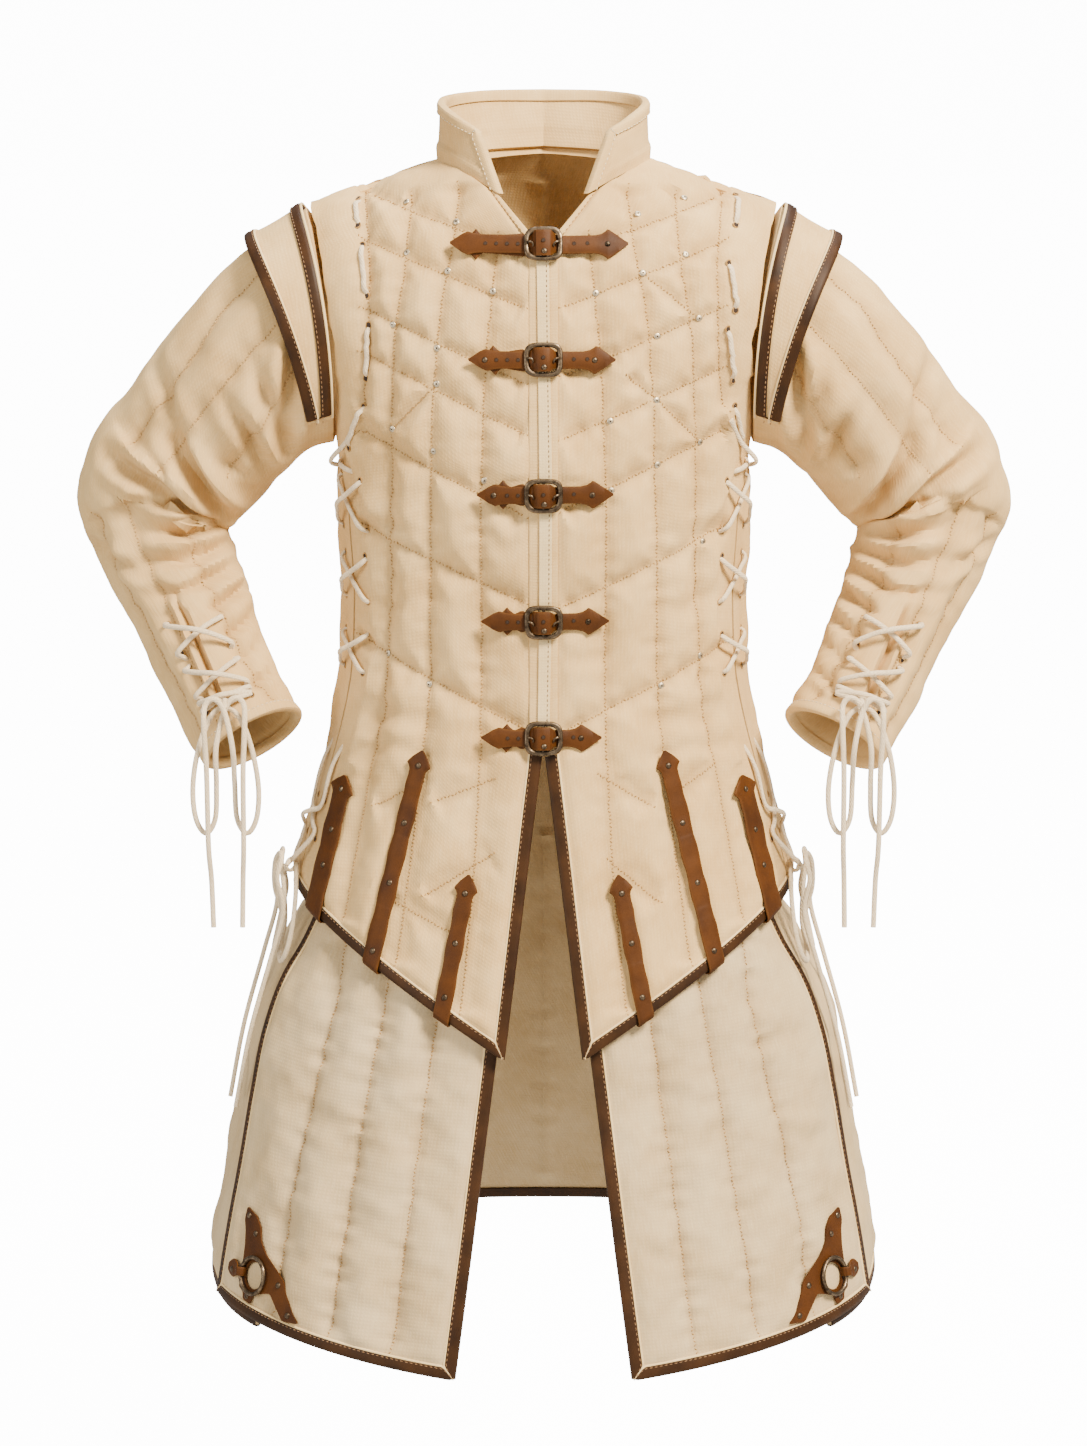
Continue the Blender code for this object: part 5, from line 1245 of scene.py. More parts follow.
def binding(name, run, finish, node, air=trim["air"], closed=False):
    # a strip folded over an edge; edge and inner are the lines at its fold and at its hem
    edge, inner, normals, half = run
    out = edge - inner
    out = unit(out - normals * np.sum(out * normals, axis=1, keepdims=True))
    near = half[:, None] + air
    far = near + trim["thick"]
    rim = air + trim["thick"]
    steps = ((1.0, 0.55), (0.96, 0.95), (0.8, 1.06), (0.5, 1.12), (0.2, 1.06), (0.04, 0.9))
    outline = [(share, near + (far - near) * rise, 0.0) for share, rise in steps]
    outline += [(0.0, far * 0.72, rim * 0.75), (0.0, far * 0.25, rim)]
    upper, lower = ([edge + (inner - edge) * share + normals * height * face + out * push
                     for share, height, push in outline] for face in (1, -1))
    under = [inner - normals * near, edge - normals * near + out * air * 0.6,
             edge + normals * near + out * air * 0.6, inner + normals * near]
    sections = np.stack(upper + lower[::-1] + under, axis=1)
    count, sides = sections.shape[:2]
    faces = loftFaces(count, sides, closed, caps=False)
    n = len(outline)
    for first, turn in () if closed else ((0, 1), ((count - 1) * sides, -1)):
        cap = list(range(first, first + sides))
        for face in (cap[:n] + cap[2 * n + 2:], cap[n:2 * n + 2], cap[n - 1:n + 1] + cap[2 * n + 1:2 * n + 3]):
            faces.append(tuple(face[::turn]))
    along = lengthsAlong(edge)
    v = np.array([0.9, 0.8, 0.5, 0.0, 0.3, 0.6, 0.8, 0.9, 0.9, 0.8, 0.6, 0.3, 0.0, 0.5, 0.8, 0.9] + [0.5] * 4)
    uv = np.stack([np.repeat(along, sides), np.tile(v, count) * (1 if finish is bridle else 0.006)], axis=-1)
    piece = addMesh(name, sections.reshape(-1, 3), faces, finish, uv, {"grooveAndPaintedShade": np.zeros(count * sides)})
    return rides(piece, nodes=(node,))


def edgeRun(panel, side, start=0, end=None, otherGap=None, width=trim["width"]):
    # the edge's points with the points one strip width inside it
    turn = {"start": lambda a: a, "end": lambda a: a[:, ::-1], "hem": lambda a: a[::-1].swapaxes(0, 1)}[side]
    points, normals = turn(panel["points"]), turn(panel["normals"])
    pick = range(start, len(points) if end is None else end)
    reach = [max(0.0003, width if otherGap is None else min(width, otherGap[i])) for i in pick]
    inner = np.array([respaced(points[i][:12], [far])[0] for i, far in zip(pick, reach)])
    return points[pick, 0], inner, normals[pick, 0], np.full(len(pick), cloth["halfEdge"])


def joinRuns(*runs):
    return [np.concatenate([run[k] for run in runs]) for k in range(4)]


def splitRow(panel, z):
    return int(np.argmin(np.abs(panel["points"][:, 0, 2] - z)))


def bindingStitches(name, run, share=0.78, lift=0.0018, thread=None, slant=0.0):
    edge, inner, away, half = run
    points = edge + (inner - edge) * share + away * (half[:, None] + lift)
    return grown(name, [(points, away)], "stitches", {"Spacing": 0.0042, "Length": 0.003, "Width": 0.0009,
                                                      "Slant": slant, "Thread": thread or brownThread})


def tube(path, radii, sides=10, flat=None):
    # a round bar along a path with its ends closed
    path = np.asarray(path, float)
    way = unit(np.gradient(path, axis=0))
    side = unit(np.cross(way, flat if flat is not None else np.array((0.0, 0.3, 1.0))))
    up = np.cross(side, way)
    turns = np.arange(sides) / sides * 2 * math.pi
    radii = np.broadcast_to(radii, (len(path),))
    rings = [p + (s * np.cos(turns)[:, None] + u * np.sin(turns)[:, None]) * r
             for p, s, u, r in zip(path, side, up, radii)]
    return np.concatenate(rings), loftFaces(len(path), sides)


def piping(name, run, radius=0.0012, rise=0.0007, share=1.0):
    edge, inner, away, half = run
    path = edge + (inner - edge) * share + away * (half[:, None] * min(1.0, 1.0 + 2 * share) + rise)
    keep = np.concatenate([[True], np.linalg.norm(np.diff(path, axis=0), axis=1) > 1e-4])
    vertices, faces = tube(path[keep], radius, 8, away[keep])
    piece = addMesh(name, vertices, faces, pipingTape, np.stack([vertices[:, 0] * 0, vertices[:, 2]], axis=-1),
                    {"grooveAndPaintedShade": np.zeros(len(vertices))})
    return rides(piece)


def upTo(lengths):    # the distance left to the end of a line
    return lengths[-1] - lengths


def leatherEdge(names, run, node, parts, stitches):
    binding(names[0], run, bridle, node)
    piping(names[1], run)
    for part, word in parts:
        bindingStitches(stitches + word, part, slant=0.55 if word == "_outer" else 0.0)


for side in ("left", "right"):
    panel = fronts[side][0]
    split = splitRow(panel, splitTop)
    upper = edgeRun(panel, "start", 0, split + 1)
    binding(f"frontTape_{side}", upper, bindingTape, f"front_binding_{side}")
    neck = int(np.argmin(np.abs(upper[0][:, 2] + 0.074)))
    bindingStitches(f"frontTapeStitches_{side}", [part[:neck] for part in upper], 0.9, 0.0019, sewingThread)
    slope = edgeRun(panel, "start", split, None, upTo(panel["down"][:, 0]))
    hem = edgeRun(panel, "hem", 1, None, panel["across"][-1])
    leatherEdge((f"hemLeather_{side}", f"hemPiping_{side}"), joinRuns(slope, hem), f"hem_binding_{side}",
                ((slope, "_slope"), (hem, "_hem")), f"hemLeatherStitches_{side}")
run = edgeRun(back, "hem")
leatherEdge(("backHemLeather", "backHemPiping"), run, "back_hem_binding", ((run, ""),), "backHemStitches")

for side in ("left", "right"):
    panel = skirtPanels[side][0]
    hemAcross = panel["across"][-1]
    inner = edgeRun(panel, "start", 0, None, upTo(panel["down"][:, 0]))
    hem = edgeRun(panel, "hem", 1, len(hemAcross) - 1, np.minimum(hemAcross, upTo(hemAcross)))
    outer = [part[::-1] for part in edgeRun(panel, "end", 0, None, upTo(panel["down"][:, -1]))]
    leatherEdge((f"skirtLeather_{side}", f"skirtPiping_{side}"), joinRuns(inner, hem, outer),
                f"skirt_front_binding_{side}", ((inner, "_inner"), (hem, "_hem"), (outer, "_outer")),
                f"skirtLeatherStitches_{side}")
run = edgeRun(backSkirt, "hem")
leatherEdge(("skirtBackLeather", "skirtBackPiping"), run, "skirt_back_binding", ((run, ""),),
            "skirtBackStitches")

collarAcross = collar["across"][-1]
left0 = edgeRun(collar, "start", 0, None, upTo(collar["down"][:, 0]))
topRun = edgeRun(collar, "hem", 1, 120, np.minimum(collarAcross, upTo(collarAcross)))
right0 = [part[::-1] for part in edgeRun(collar, "end", 0, None, upTo(collar["down"][:, 0]))]
binding("collarTape", joinRuns(left0, topRun, right0), bindingTape, "collar_binding", 0.0009)
for part, word in ((left0, "left"), (topRun, "top"), (right0, "right")):
    bindingStitches(f"collarTapeStitches_{word}", part, 0.88, 0.0022, paleThread)

for side in ("left", "right"):
    run = edgeRun(sleeves[side][0], "hem", width=trim["cuff"])
    binding(f"cuffTape_{side}", run, bindingTape, f"cuff_binding_{side}", closed=True)
    bindingStitches(f"cuffTapeStitches_{side}", run, 0.88, 0.0019, paleThread)
    a = edgeRun(wings[side][0], "start", width=trim["wing"])
    b = [part[::-1] for part in edgeRun(wings[side][0], "end", width=trim["wing"])]
    binding(f"wingLeather_{side}", joinRuns([part[1:-1] for part in a], [part[1:-1] for part in b]), bridle,
            f"wing_binding_{side}", 0.0007, closed=True)
    piping(f"wingPiping_{side}_inner", a, share=-0.3)
    piping(f"wingPiping_{side}_outer", b)
    for part, word in ((a, "inner"), (b, "outer")):
        bindingStitches(f"wingStitches_{side}_{word}", part, 0.8, 0.002)
print("bindings sewn")


def strapRibbon(name, rows, place, nodes, finish=None, fine=0.0022):
    # a leather strip from (s, height, half width, thickness) rows, with rounded edges
    finish = finish or strapHide
    rows = np.array(rows, float)
    path = rows[:, :2]
    along = lengthsAlong(path)
    spots = np.unique(np.concatenate([along, np.arange(0, along[-1], fine)]))
    fineRows = np.stack([np.interp(spots, along, rows[:, k]) for k in range(4)], axis=1)
    for _ in range(3):
        inner = fineRows[1:-1, 1] * 0.5 + (fineRows[:-2, 1] + fineRows[2:, 1]) * 0.25
        fineRows[1:-1, 1] = inner
    way = unit(np.gradient(fineRows[:, :2], axis=0))
    profile = ((1.0, 0.0), (0.985, 0.6), (0.93, 1.0), (0.4, 1.0), (-0.4, 1.0), (-0.93, 1.0), (-0.985, 0.6),
               (-1.0, 0.0), (-0.985, -0.6), (-0.93, -1.0), (0.0, -1.0), (0.93, -1.0), (0.985, -0.6))
    vertices, uv = [], []
    for (s, h, half, thick), (ds, dh), spot in zip(fineRows, way, spots):
        for across, rise in profile:
            k = rise * thick / 2
            vertices.append(place(s - dh * k, half * across, h + ds * k))
            uv.append((spot, across if finish is strapHide else across * half))
    piece = addMesh(name, vertices, loftFaces(len(fineRows), len(profile)), finish, uv, sharp=50)
    return rides(piece, nodes=nodes)


buckle = {"halfWidth": 0.0156, "halfHeight": 0.014, "bar": 0.0036, "height": 0.0091, "depth": 0.0032,
          "pin": 0.0014, "square": 0.56, "loop": 0.0022}


def onBody(x, z, h, v=0.0):    # a point at a height over the coat's front
    point, normal = surfaceFrame(bodyPoint, math.copysign(float(bodyAngle(x, z)), x), z + v)
    return point + normal * h


def closurePlace(z):
    return lambda x, v, h: onBody(x, z, h, v)


# distance from the tip and half width; distance from the middle, height and half width
tongueTip = mm(((0, 0.8), (3, 2.6), (8, 6.2), (15, 10.8), (16.5, 11.2), (18, 9.8), (21, 8), (26, 6.9)))
tongueBarrel = mm(((12.5, 5.9, 6.9), (8.5, 8.3, 6.9), (5, 12.2, 9.6), (0, 13.1, 9.6), (-5, 12.2, 9.6),
                   (-7.5, 9.4, 9.6)))
tongueFoot = mm(((24, 6.9), (18, 7.7), (15, 8.6), (13.5, 8.6), (9, 6.6), (3, 2.6), (0, 0.8)))
anchorTip = mm(((0, 1), (4, 4.5), (8, 8.5), (11, 11.8), (13.5, 8.8), (17, 6.2)))
anchorNeck = mm(((-18.5, 8.6), (-16, 8.8), (-12.5, 6.4)))


def tongueRows(reachLeft, reachRight):
    thick, w = leather["thick"], leather["half"]
    low = cloth["halfWall"] + leather["lift"] + thick / 2 + leather["gap"]
    high = low + thick + leather["overlap"]
    rows = [(reachLeft - s, low, half) for s, half in tongueTip] + [(0.0185, low, w), *tongueBarrel]
    rows += [(-0.0113, high, w), (-0.018, high, w)] + [(s - reachRight, high, half) for s, half in tongueFoot]
    return [(*row, thick) for row in rows]


def anchorRows(reachRight):
    thick = leather["thick"]
    low = cloth["halfWall"] + leather["lift"] + thick / 2
    rows = [(s + 0.009 - reachRight, low, half, thick) for s, half in anchorTip]
    rows += [(s, low, half, thick) for s, half in anchorNeck]
    rows += [(-0.009, low + 0.0002, 0.0058, thick), (-0.005, 0.0062, 0.0058, 0.0012)]
    for degrees in (180, 130, 90, 50, 0, -45, -80):
        turn = math.radians(degrees)
        rows.append((buckle["loop"] * math.cos(turn), buckle["height"] + buckle["loop"] * math.sin(turn),
                     0.0058, 0.001))
    return rows


def frameOfBuckle(z):
    centre, normal = surfaceFrame(bodyPoint, 0.0, z)
    up = unit(np.array((0.0, normal[2], -normal[1])))
    if up[2] < 0:
        up = -up
    return centre + normal * buckle["height"], np.array((1.0, 0.0, 0.0)), up, normal


def joinParts(parts):
    vertices, faces, start = [], [], 0
    for v, f in parts:
        vertices.append(np.asarray(v))
        faces += [tuple(i + start for i in face) for face in f]
        start += len(v)
    return np.concatenate(vertices), faces


def castBuckle(number, z):
    centre, right, up, normal = frameOfBuckle(z)
    deep = buckle["depth"] / 2
    turns = np.arange(72) / 72 * 2 * math.pi
    rings = []
    for turn in turns:
        c, s = math.cos(turn), math.sin(turn)
        waver = 0.00018 * math.sin(3 * turn + number)    # uneven, as cast by hand
        ring = []
        for k in range(12):
            a = k / 12 * 2 * math.pi
            across = math.copysign(abs(math.cos(a)) ** 0.8, math.cos(a))
            inset = (buckle["bar"] / 2 + 0.0002) * (1 - across) + waver
            height = deep * math.copysign(abs(math.sin(a)) ** 0.7, math.sin(a)) * 1.02
            x = math.copysign((buckle["halfWidth"] - inset) * abs(c) ** buckle["square"], c)
            y = math.copysign((buckle["halfHeight"] - inset) * abs(s) ** buckle["square"], s)
            ring.append(centre + right * x + up * y + normal * height)
        rings.append(ring)
    frameParts = (np.array(rings).reshape(-1, 3), loftFaces(72, 12, closed=True))
    reach = buckle["halfHeight"] - buckle["bar"] / 2
    bar = tube([centre + up * v for v in np.linspace(-reach, reach, 9)], buckle["pin"], 10, right)
    prongs = []
    for way in (-1, 1):
        path = [centre + right * way * x + up * v + normal * h for x, v, h in
                ((0.0128, 0.0012, 0.0012), (0.0112, 0.001, 0.003), (0.0092, 0.0002, 0.0036),
                 (0.0082, -0.0014, 0.003), (0.0086, -0.0026, 0.0022))]
        prongs.append(tube(curveThrough(path, 4), np.linspace(0.0011, 0.0005, 17), 8, normal))
    vertices, faces = joinParts([frameParts, bar] + prongs)
    piece = addMesh(f"castBuckle_{number}", vertices, faces, bronze, sharp=60)
    return rides(piece, nodes=(f"buckle_{number}",))


def rivetsAt(name, places, radius, rise):
    points, away = (np.array(part) for part in zip(*places))
    sizes = {"Radius": radius, "Rise": rise, "Pit": 0.0003, "Metal": bronze, "Inside": paintedHoleShadow}
    return grown(name, [(points, unit(away))], "studs", sizes)


def onStrap(place, s, v, h):
    return place(s, v, h), unit(place(s, v, h + 0.004) - place(s, v, h))


# the cream strip down the middle: height, middle, half width
placket = mm((
    (-80, -0.6, 5), (-160, 0.4, 5), (-267, 1.8, 5.2), (-371, 1.4, 5.1), (-478, -0.2, 5)))


def placketPlace(s, v, h):
    return onBody(straight(placket, -s) + v, -s, h)


rows = []
for s in np.arange(0.08, 0.4781, 0.0024):
    squeezed = min(1.0, max(0.0, (min(abs(s + row[0]) for row in closures) - 0.008) / 0.006))
    rows.append((s, 0.004 + 0.0004 * squeezed, straight(placket, -s, 2), 0.0007 + 0.0012 * squeezed))
strapRibbon("placketStrip", rows, placketPlace, (), pipingTape)
points = [placketPlace(s, 0.55 * half, h + thick / 2 + 0.0001) for s, h, half, thick in rows]
grown("placketStitches", [(np.array(points), np.tile((0.0, -1.0, 0.0), (len(points), 1)))], "stitches",
      {"Spacing": 0.004, "Length": 0.0026, "Width": 0.0009, "Slant": 0.0, "Thread": brownThread})

holes, rivets = [], []
for number, (z, reachRight, reachLeft) in enumerate(closures, 1):
    place = closurePlace(z)
    strapRibbon(f"buckleTongue_{number}", tongueRows(reachLeft, reachRight), place, (f"tongue_{number}",))
    strapRibbon(f"buckleAnchor_{number}", anchorRows(reachRight), place, (f"anchor_{number}",))
    castBuckle(number, z)
    low = cloth["halfWall"] + leather["lift"] + leather["thick"] + leather["gap"]
    high = low + leather["thick"] + leather["overlap"]
    for s in np.arange(-0.02, -reachRight + 0.018, -0.0085)[:4]:
        holes.append(onStrap(place, s, 0.0, high))
    for s in np.arange(0.024, reachLeft - 0.022, 0.0105)[:2]:
        holes.append(onStrap(place, s, 0.0008, low))
    holes.append(onStrap(place, 0.0, 0.0016, 0.0131 + leather["thick"] / 2))
    rivets.append(onStrap(place, reachLeft - 0.0165, 0.0, low))
    rivets.append(onStrap(place, -reachRight + 0.013, 0.0, high) if number in (2, 3)
                  else onStrap(place, reachLeft - 0.0165, 0.0, low))
    rivets.append(onStrap(place, 0.0006, -0.0062, 0.0128 + leather["thick"] / 2))
points, away = (np.array(part) for part in zip(*holes))
grown("strapHoles", [(points, unit(away))], "eyelets",
      {"Radius": 0.0014, "Rim": 0.0004, "Edge": bridle, "Inside": paintedHoleShadow})
rivetsAt("strapRivets", rivets, 0.0023, 0.0013)
print("closures ready")

rivetShares = {"inner": (0.13, 0.48, 0.86), "middle": (0.07, 0.34, 0.62, 0.94), "outer": (0.1, 0.4, 0.66)}


def skirtStrapPlace(tipX, tipZ, hemX, sign):
    hemZ = frontCorner[1] + hemRise * (hemX - frontCorner[0])
    length = math.hypot(hemX - tipX, hemZ - tipZ)
    along = ((hemX - tipX) / length, (hemZ - tipZ) / length)
    skew = (hemRise * along[1] + along[0]) / (hemRise * along[0] - along[1])

    def place(s, v, h):
        near = min(1.0, max(0.0, (s - (length - 0.03)) / 0.03))
        s = s + skew * v * near
        x = tipX + along[0] * s - along[1] * v
        z = tipZ + along[1] * s + along[0] * v
        return onBody(x, z, h) * (sign, 1, 1)
    return place, length


# distance from the tip and half width
hemStrapTip = mm(((0, 0.8), (2.5, 3), (6, 6), (10.5, 8.8), (12.5, 9.6), (14.2, 8), (17, 6.6), (22, 6.4)))


def skirtStrapRows(length, under, seed):
    thick = leather["thick"]
    top = cloth["halfWall"] + leather["hemLift"] + thick / 2
    w = 0.0068
    rows = [(s, top, half, thick) for s, half in hemStrapTip]
    draw = np.random.default_rng(seed)
    for s in np.arange(0.03, length - 0.014, 0.0085):
        rows.append((s, top + draw.uniform(-0.0002, 0.0004), w + 0.0005 * math.sin(s * 190 + seed), thick))
    rows += [(length - 0.01, top, w, thick), (length + 0.0018, top, w, thick),
             (length + 0.0038, 0.0034, w, 0.0014), (length + 0.0038, -0.003, w, 0.0014),
             (length + 0.002, -under, w, 0.0014), (length - 0.006, -under, w, 0.0014)]
    return rows


rivets = []
for number, (word, tipX, tipZ, hemX, under) in enumerate(skirtStraps):
    for side, sign in bothSides:
        place, length = skirtStrapPlace(tipX, tipZ, hemX, sign)
        rows = skirtStrapRows(length, under, number + (3 if sign > 0 else 9))
        strapRibbon(f"hemStrap_{word}_{side}", rows, place, (f"skirt_strap_{word}_{side}",))
        top = cloth["halfWall"] + leather["hemLift"] + leather["thick"]
        for share in rivetShares[word]:
            rivets.append(onStrap(place, share * length, 0.0, top))
rivetsAt("hemStrapRivets", rivets, 0.0025, 0.0014)
print("hem straps ready")

ring = {"radius": 0.0152, "wire": 0.0018, "height": 0.0078}
plate = {"height": 0.0042, "thick": 0.0014, "hole": 0.0115}
tabRaise = 0.0016    # brings the tab level with the middle of its ring
plateOutline = mm((
    (-24, 56), (-15, 52), (-9, 50), (-1, 41), (2, 30), (11, 19), (24, 9), (34, 0), (38, -11), (46, -25),
    (52.5, -33.5), (37, -33), (28, -21), (21, -12), (12, -13.5), (2, -16.5), (-1, -24.5), (-11, -21.5),
    (-12, -15.5), (-18.5, -12), (-18, 10), (-18.5, 23), (-21, 36), (-25, 45)))
plateRivets = mm((
    (-19, 49), (-6, 35), (29, -4), (42, -27.5), (-6, -18.5)))


def cornerPlace(sign):
    angle, z = ringPlace
    step = 0.01
    along = np.linalg.norm(skirtPoint(angle - step, z) - skirtPoint(angle + step, z)) / (2 * step)

    def place(u, v, h):
        point, normal = surfaceFrame(skirtPoint, angle - u / along, z + v * 0.965 + u * 0.1)
        return (point + normal * h) * (sign, 1, 1)
    return place


def roundedOutline(corners, reach, samples=4):
    # each corner is cut by a short curve, so that the leather looks cut with a knife and not folded
    corners = np.array(corners, float)
    out = []
    for i, corner in enumerate(corners):
        before, after = corners[i - 1] - corner, corners[(i + 1) % len(corners)] - corner
        a = corner + unit(before) * min(reach, np.linalg.norm(before) * 0.45)
        b = corner + unit(after) * min(reach, np.linalg.norm(after) * 0.45)
        for t in np.linspace(0, 1, samples):
            out.append((1 - t) ** 2 * a + 2 * t * (1 - t) * corner + t * t * b)
    return np.array(out)


def cutPlate(name, place, node):    # a flat leather plate with a round hole
    rim, hole = roundedOutline(plateOutline, 0.0022), plate["hole"]
    holeLine = np.array([(hole * math.cos(t), hole * math.sin(t)) for t in np.arange(40) / 40 * 2 * math.pi])
    low, high = rim.min(axis=0), rim.max(axis=0)
    spread = [(x, y) for x in np.arange(low[0], high[0], 0.004) for y in np.arange(low[1], high[1], 0.004)]
    flat = [Vector(p) for p in list(rim) + list(holeLine) + spread]
    n, m = len(rim), len(holeLine)
    edges = [(i, (i + 1) % n) for i in range(n)] + [(n + i, n + (i + 1) % m) for i in range(m)]
    verts, _, faces, _, _, _ = delaunay_2d_cdt(flat, edges, [list(range(n))], 2, 1e-7)
    kept = [f for f in faces if (sum((verts[i] for i in f), Vector((0, 0))) / 3).length > hole * 0.98]
    used = sorted({i for f in kept for i in f})
    renumber = {old: new for new, old in enumerate(used)}
    count = len(used)
    top = plate["height"] + plate["thick"]
    vertices = [place(verts[i].x, verts[i].y, top) for i in used]
    vertices += [place(verts[i].x, verts[i].y, plate["height"]) for i in used]
    kept = [[renumber[i] for i in f] for f in kept]
    solid = [tuple(f) for f in kept] + [tuple(count + i for i in reversed(f)) for f in kept]
    pairs = {(a, b) for f in kept for a, b in zip(f, f[1:] + f[:1])}
    solid += [(b, a, count + a, count + b) for a, b in pairs if (b, a) not in pairs]
    uv = [(verts[i].x, 0.0) for i in used] + [(verts[i].x, 1.0) for i in used]
    piece = addMesh(name, vertices, solid, strapHide, uv)
    bevel = piece.modifiers.new("soft edge", "BEVEL")
    bevel.width = 0.0003
    bevel.segments = 2
    bevel.limit_method = "ANGLE"
    return rides(piece, nodes=(node,))


for side, sign in bothSides:
    place = cornerPlace(sign)
    cutPlate(f"cornerPlate_{side}", place, f"corner_plate_{side}")
    low = plate["height"] + plate["thick"] + 0.001
    axis, centre = -ring["radius"], ring["height"]
    rows = [(-0.04, plate["height"] + 0.0007, 0.003, 0.0014),
            (-0.036, plate["height"] + 0.0007, 0.0062, 0.0014),
            (-0.033, plate["height"] + 0.0007, 0.0075, 0.0014), (-0.029, low - 0.0008, 0.0078, 0.0013),
            (-0.026, low - 0.0006, 0.0068, 0.0012), (-0.0215, low + 0.001, 0.0045, 0.0012)]
    for degrees in (150, 115, 80, 45, 10, -30):
        turn = math.radians(degrees)
        rows.append((axis + 0.0042 * math.cos(turn), centre + 0.0042 * math.sin(turn), 0.0038, 0.001))
    strapRibbon(f"cornerTab_{side}", rows, lambda u, v, h, place=place: place(u, v + tabRaise, h),
                (f"corner_tab_{side}",), fine=0.0012)
    middle = place(0, 0, centre)
    out = unit(place(0, 0, 0.02) - place(0, 0, 0))
    up = place(0, 0.01, centre) - place(0, -0.01, centre)
    up = unit(up - out * np.dot(up, out))
    inward = unit(np.cross(out, up)) * sign
    rings = []
    for t in np.linspace(0, 2 * math.pi, 64, endpoint=False):
        radial = inward * math.cos(t) + up * math.sin(t)
        core = middle + radial * ring["radius"]
        rings.append([core + (radial * math.cos(a) + out * math.sin(a)) * ring["wire"]
                      for a in np.arange(12) / 12 * 2 * math.pi])
    piece = addMesh(f"cornerRing_{side}", np.array(rings).reshape(-1, 3), loftFaces(64, 12, closed=True),
                    bronze)
    rides(piece, body=f"ring_{side}", nodes=(f"corner_ring_{side}",))
    top = plate["height"] + plate["thick"]
    rivetsAt(f"plateRivets_{side}", [onStrap(place, u, v, top) for u, v in plateRivets]
             + [onStrap(place, -0.0325, 0.0, plate["height"] + 0.0014)], 0.0026, 0.0014)
print("corner plates ready")


def flatLace(name, route, away, nodes=()):
    # a flat braided lace: broad across the cloth and thin out of it
    spots = np.linspace(0, len(route) - 1, len(route) * 10 - 9)
    line = curveThrough(route, 10)
    lean = np.stack([np.interp(spots, np.arange(len(route)), away[:, k]) for k in range(3)], axis=1)
    along = lengthsAlong(line)
    at = np.linspace(0, along[-1], max(4, int(along[-1] / 0.0022)))
    points = respaced(line, at)
    lean = unit(np.stack([np.interp(at, along, lean[:, k]) for k in range(3)], axis=1))
    way = unit(np.gradient(points, axis=0))
    side = unit(np.cross(way, lean))
    lean = np.cross(side, way)
    turns = np.arange(10) / 10 * 2 * math.pi
    wide, deep = laces["thick"] / 2, laces["thick"] * laces["flat"]
    rings = (points[:, None] + side[:, None] * (np.cos(turns) * wide)[None, :, None]
             + lean[:, None] * (np.sin(turns) * deep)[None, :, None])
    uv = np.stack([np.repeat(at, 10), np.tile(np.cos(turns) * wide, len(points))], axis=-1)
    piece = addMesh(name, rings.reshape(-1, 3), loftFaces(len(points), 10), laceCord, uv, sharp=80)
    rides(piece, nodes=nodes)
    return piece, points


def bowKnot(name, centre, across, away, drop):
    # the wrap that holds a bow: one turn of lace round its middle
    upWay = np.cross(across, away)
    turns = np.linspace(0, 2 * math.pi, 13)
    route = np.array([centre + away * (0.0085 * math.cos(t) + drop) + upWay * 0.0052 * math.sin(t)
                      + across * 0.0012 * t / 6.28 for t in turns])
    lean = np.array([away * math.cos(t) + upWay * math.sin(t) for t in turns])
    return flatLace(name, route, lean)[0]


for side, sign in bothSides:
    for word, first in (("a", -1), ("b", 1)):
        for kind, laid in (("side", sideLaceRoute(first)), ("cuff", cuffLaceRoute(first))):
            route, away = (np.array(part) * (sign, 1, 1) for part in laid)
            piece, points = flatLace(f"{kind}Lace_{word}_{side}", route, away, (f"{kind}_lace_{word}_{side}",))
            length = float(lengthsAlong(points)[-1])
            print(kind, word, side, "lace", round(length, 4))
            if word == "a":
                middle, out = route[-17], unit(away[-17])
                across = unit(np.cross(out, np.array((0.0, 0.0, 1.0))))
                bowKnot(f"{kind}LaceWrap_{side}", middle, across, out, 0.006)
            tuple(float(c) for c in points[0])
            [tuple(float(c) for c in p) for p in points]


def seated(panels, points):    # the nearest place on the cloth's outside, with its direction
    outside = np.concatenate([panel["outside"].reshape(-1, 3) for panel in panels])
    normals = np.concatenate([panel["normals"].reshape(-1, 3) for panel in panels])
    pick = [int(np.argmin(np.linalg.norm(outside - point, axis=1))) for point in points]
    return outside[pick] + normals[pick] * 0.0001, unit(normals[pick])


for side, sign in bothSides:
    ends = [surfaceFrame(bodyPoint, math.radians(middle + spread * edge), z)[0]
            for top, foot, middle, spread in sideCrosses
            for z in (top + 0.0035, foot - 0.0035) for edge in (1, -1)]
    cuffEnds = [sleeveFrame(station, math.pi / 2 + cuff["spread"] * edge)[0]
                for top, foot in cuffCrosses for station in (top - 0.03, foot + 0.03) for edge in (1, -1)]
    eyelets = {"Radius": 0.0024, "Rim": 0.0006, "Edge": sewingThread, "Inside": paintedHoleShadow}
    for word, panels, places in (("side", (fronts[side][0], back), ends),
                                 ("cuff", (sleeves[side][0],), cuffEnds)):
        grown(f"{word}Eyelets_{side}", [seated(panels, np.array(places) * (sign, 1, 1))], "eyelets", eyelets)
print("laces ready")

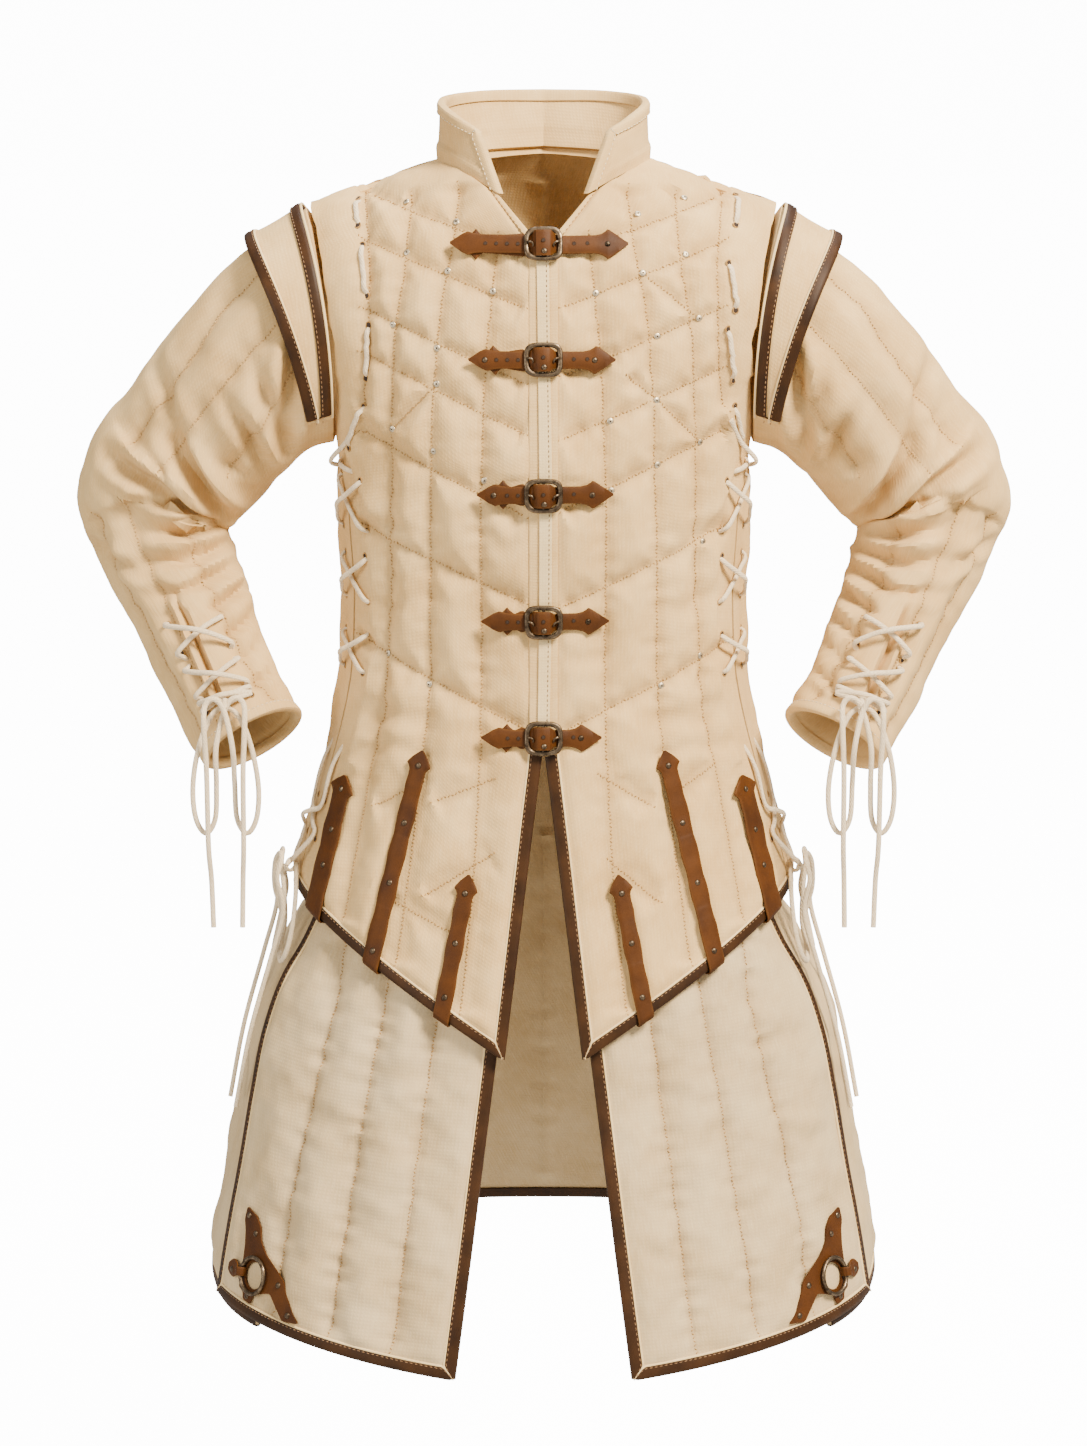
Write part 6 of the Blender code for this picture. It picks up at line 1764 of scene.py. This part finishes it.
# pale studs where the quilting lines cross
studPlaces = mm({
    "left": (
        (76, -47), (114, -36), (42, -108), (80, -92), (116, -78), (126, -129), (92, -143), (50, -160),
        (92, -193), (54, -209), (129, -230), (94, -246), (55, -265), (131, -312), (130, -407), (97, -428)),
    "right": (
        (112, -37), (70, -52), (111, -76), (77, -91), (41, -106), (123, -134), (86, -151), (87, -180),
        (123, -219), (89, -234), (48, -257), (130, -405), (95, -427)),
})
for side, signX in bothSides:
    seats = seatedOn(*fronts[side][:2], flipX(studPlaces[side], signX), 0.0004)
    sizes = {"Radius": 0.003, "Rise": 0.001, "Pit": 0.00078, "Metal": paleSteel, "Inside": paintedHoleShadow}
    grown(f"quiltStuds_{side}", seats, "studs", sizes)
print("studs set")

armholeLacing = mm({
    "right": (
        ((153, -40.5), (151, -54)), ((147.5, -74.7), (144, -107.7)), ((142.8, -138.6), (145.2, -175.5)),
        ((146, -205), (154, -233))),
    "left": (
        ((158, -40), (156, -55)), ((150, -90), (153.5, -120)), ((149.4, -142.4), (153.5, -177)),
        ((153, -205.4), (159, -230.6))),
})
for side, signX in bothSides:
    panel, tree, _ = fronts[side]
    ends = []
    for number, dash in enumerate(armholeLacing[side], 1):
        (x0, z0), (x1, z1) = flipX(dash, signX)
        ends += [(x0, z0 + 0.0034), (x1, z1 - 0.0034)]
        middle = ((x0 + x1) / 2, (z0 + z1) / 2)
        spots = spotsOn(tree, [(x0, z0 + 0.004), (x0, z0), middle, (x1, z1), (x1, z1 - 0.004)], 0.003)
        normal = unit(layerAt(panel["normals"], spots))
        route = layerAt(panel["outside"], spots)
        fromEnd = np.minimum(np.arange(len(route)), np.arange(len(route))[::-1])
        lift = np.minimum(0.0022, fromEnd * 0.0026 - 0.003)
        flatLace(f"armholeLacing_{side}_{number}", route + normal * lift[:, None], normal)
    grown(f"armholeEyelets_{side}", seatedOn(panel, tree, ends, 0.0002), "eyelets",
          {"Radius": 0.0027, "Rim": 0.0006, "Edge": sewingThread, "Inside": paintedHoleShadow})
print("armholes laced")


def softLight(name, place, target, size, power, colour="#ffffff"):
    data = bpy.data.lights.new(name, "AREA")
    data.shape = "RECTANGLE"
    data.size, data.size_y = size
    data.energy = power
    data.color = hexColour(colour)[:3]
    lamp = newObject(name, data)
    lamp.location = place
    lamp.rotation_euler = (Vector(target) - Vector(place)).to_track_quat("-Z", "Y").to_euler()


studio = {"floor": -1.42, "ambient": 0.46, "backdrop": 14.0, "key": 760, "fill": 150, "top": 130}
softLight("keyLight", (2.3, -2.5, 2.9), (0, 0, -0.5), (1.3, 1.3), studio["key"], "#ffefd9")
softLight("fillLight", (-3.2, -2.8, 1.0), (0, 0, -0.5), (2.6, 2.6), studio["fill"], "#fff6ea")
softLight("topLight", (0.4, 1.0, 2.8), (0, 0, -0.3), (2.0, 2.0), studio["top"])

world = bpy.data.worlds.new("paleStudio")
world.use_nodes = True
worldTree = world.node_tree
skyLook = worldTree.nodes["Background"]
skyLook.inputs[0].default_value = hexColour("#fbfbfb")
ray = addNode(worldTree, "ShaderNodeLightPath")
power = addNode(worldTree, "ShaderNodeMapRange", {"Value": ray, "To Min": studio["ambient"],
                                                  "To Max": studio["backdrop"]})
worldTree.links.new(power.outputs[0], skyLook.inputs[1])
scene.world = world
floorFinish, add, floorShader = newFinish("paleStudioFloor", {
    "Roughness": 0.9, "Base Color": hexColour("#b4b4b4"), "Emission Color": hexColour("#fbfbfb")})
power = add("ShaderNodeMath", {0: add("ShaderNodeLightPath"), 1: studio["backdrop"]}, operation="MULTIPLY")
floorFinish.node_tree.links.new(power.outputs[0], floorShader.inputs["Emission Strength"])
floorMesh = bpy.data.meshes.new("studioFloor")
floorMesh.from_pydata([(x, y, studio["floor"]) for x, y in ((-30, -30), (30, -30), (30, 30), (-30, 30))],
                      [], [(0, 1, 2, 3)])
floorMesh.materials.append(floorFinish)
newObject("studioFloor", floorMesh)
print("studio ready")
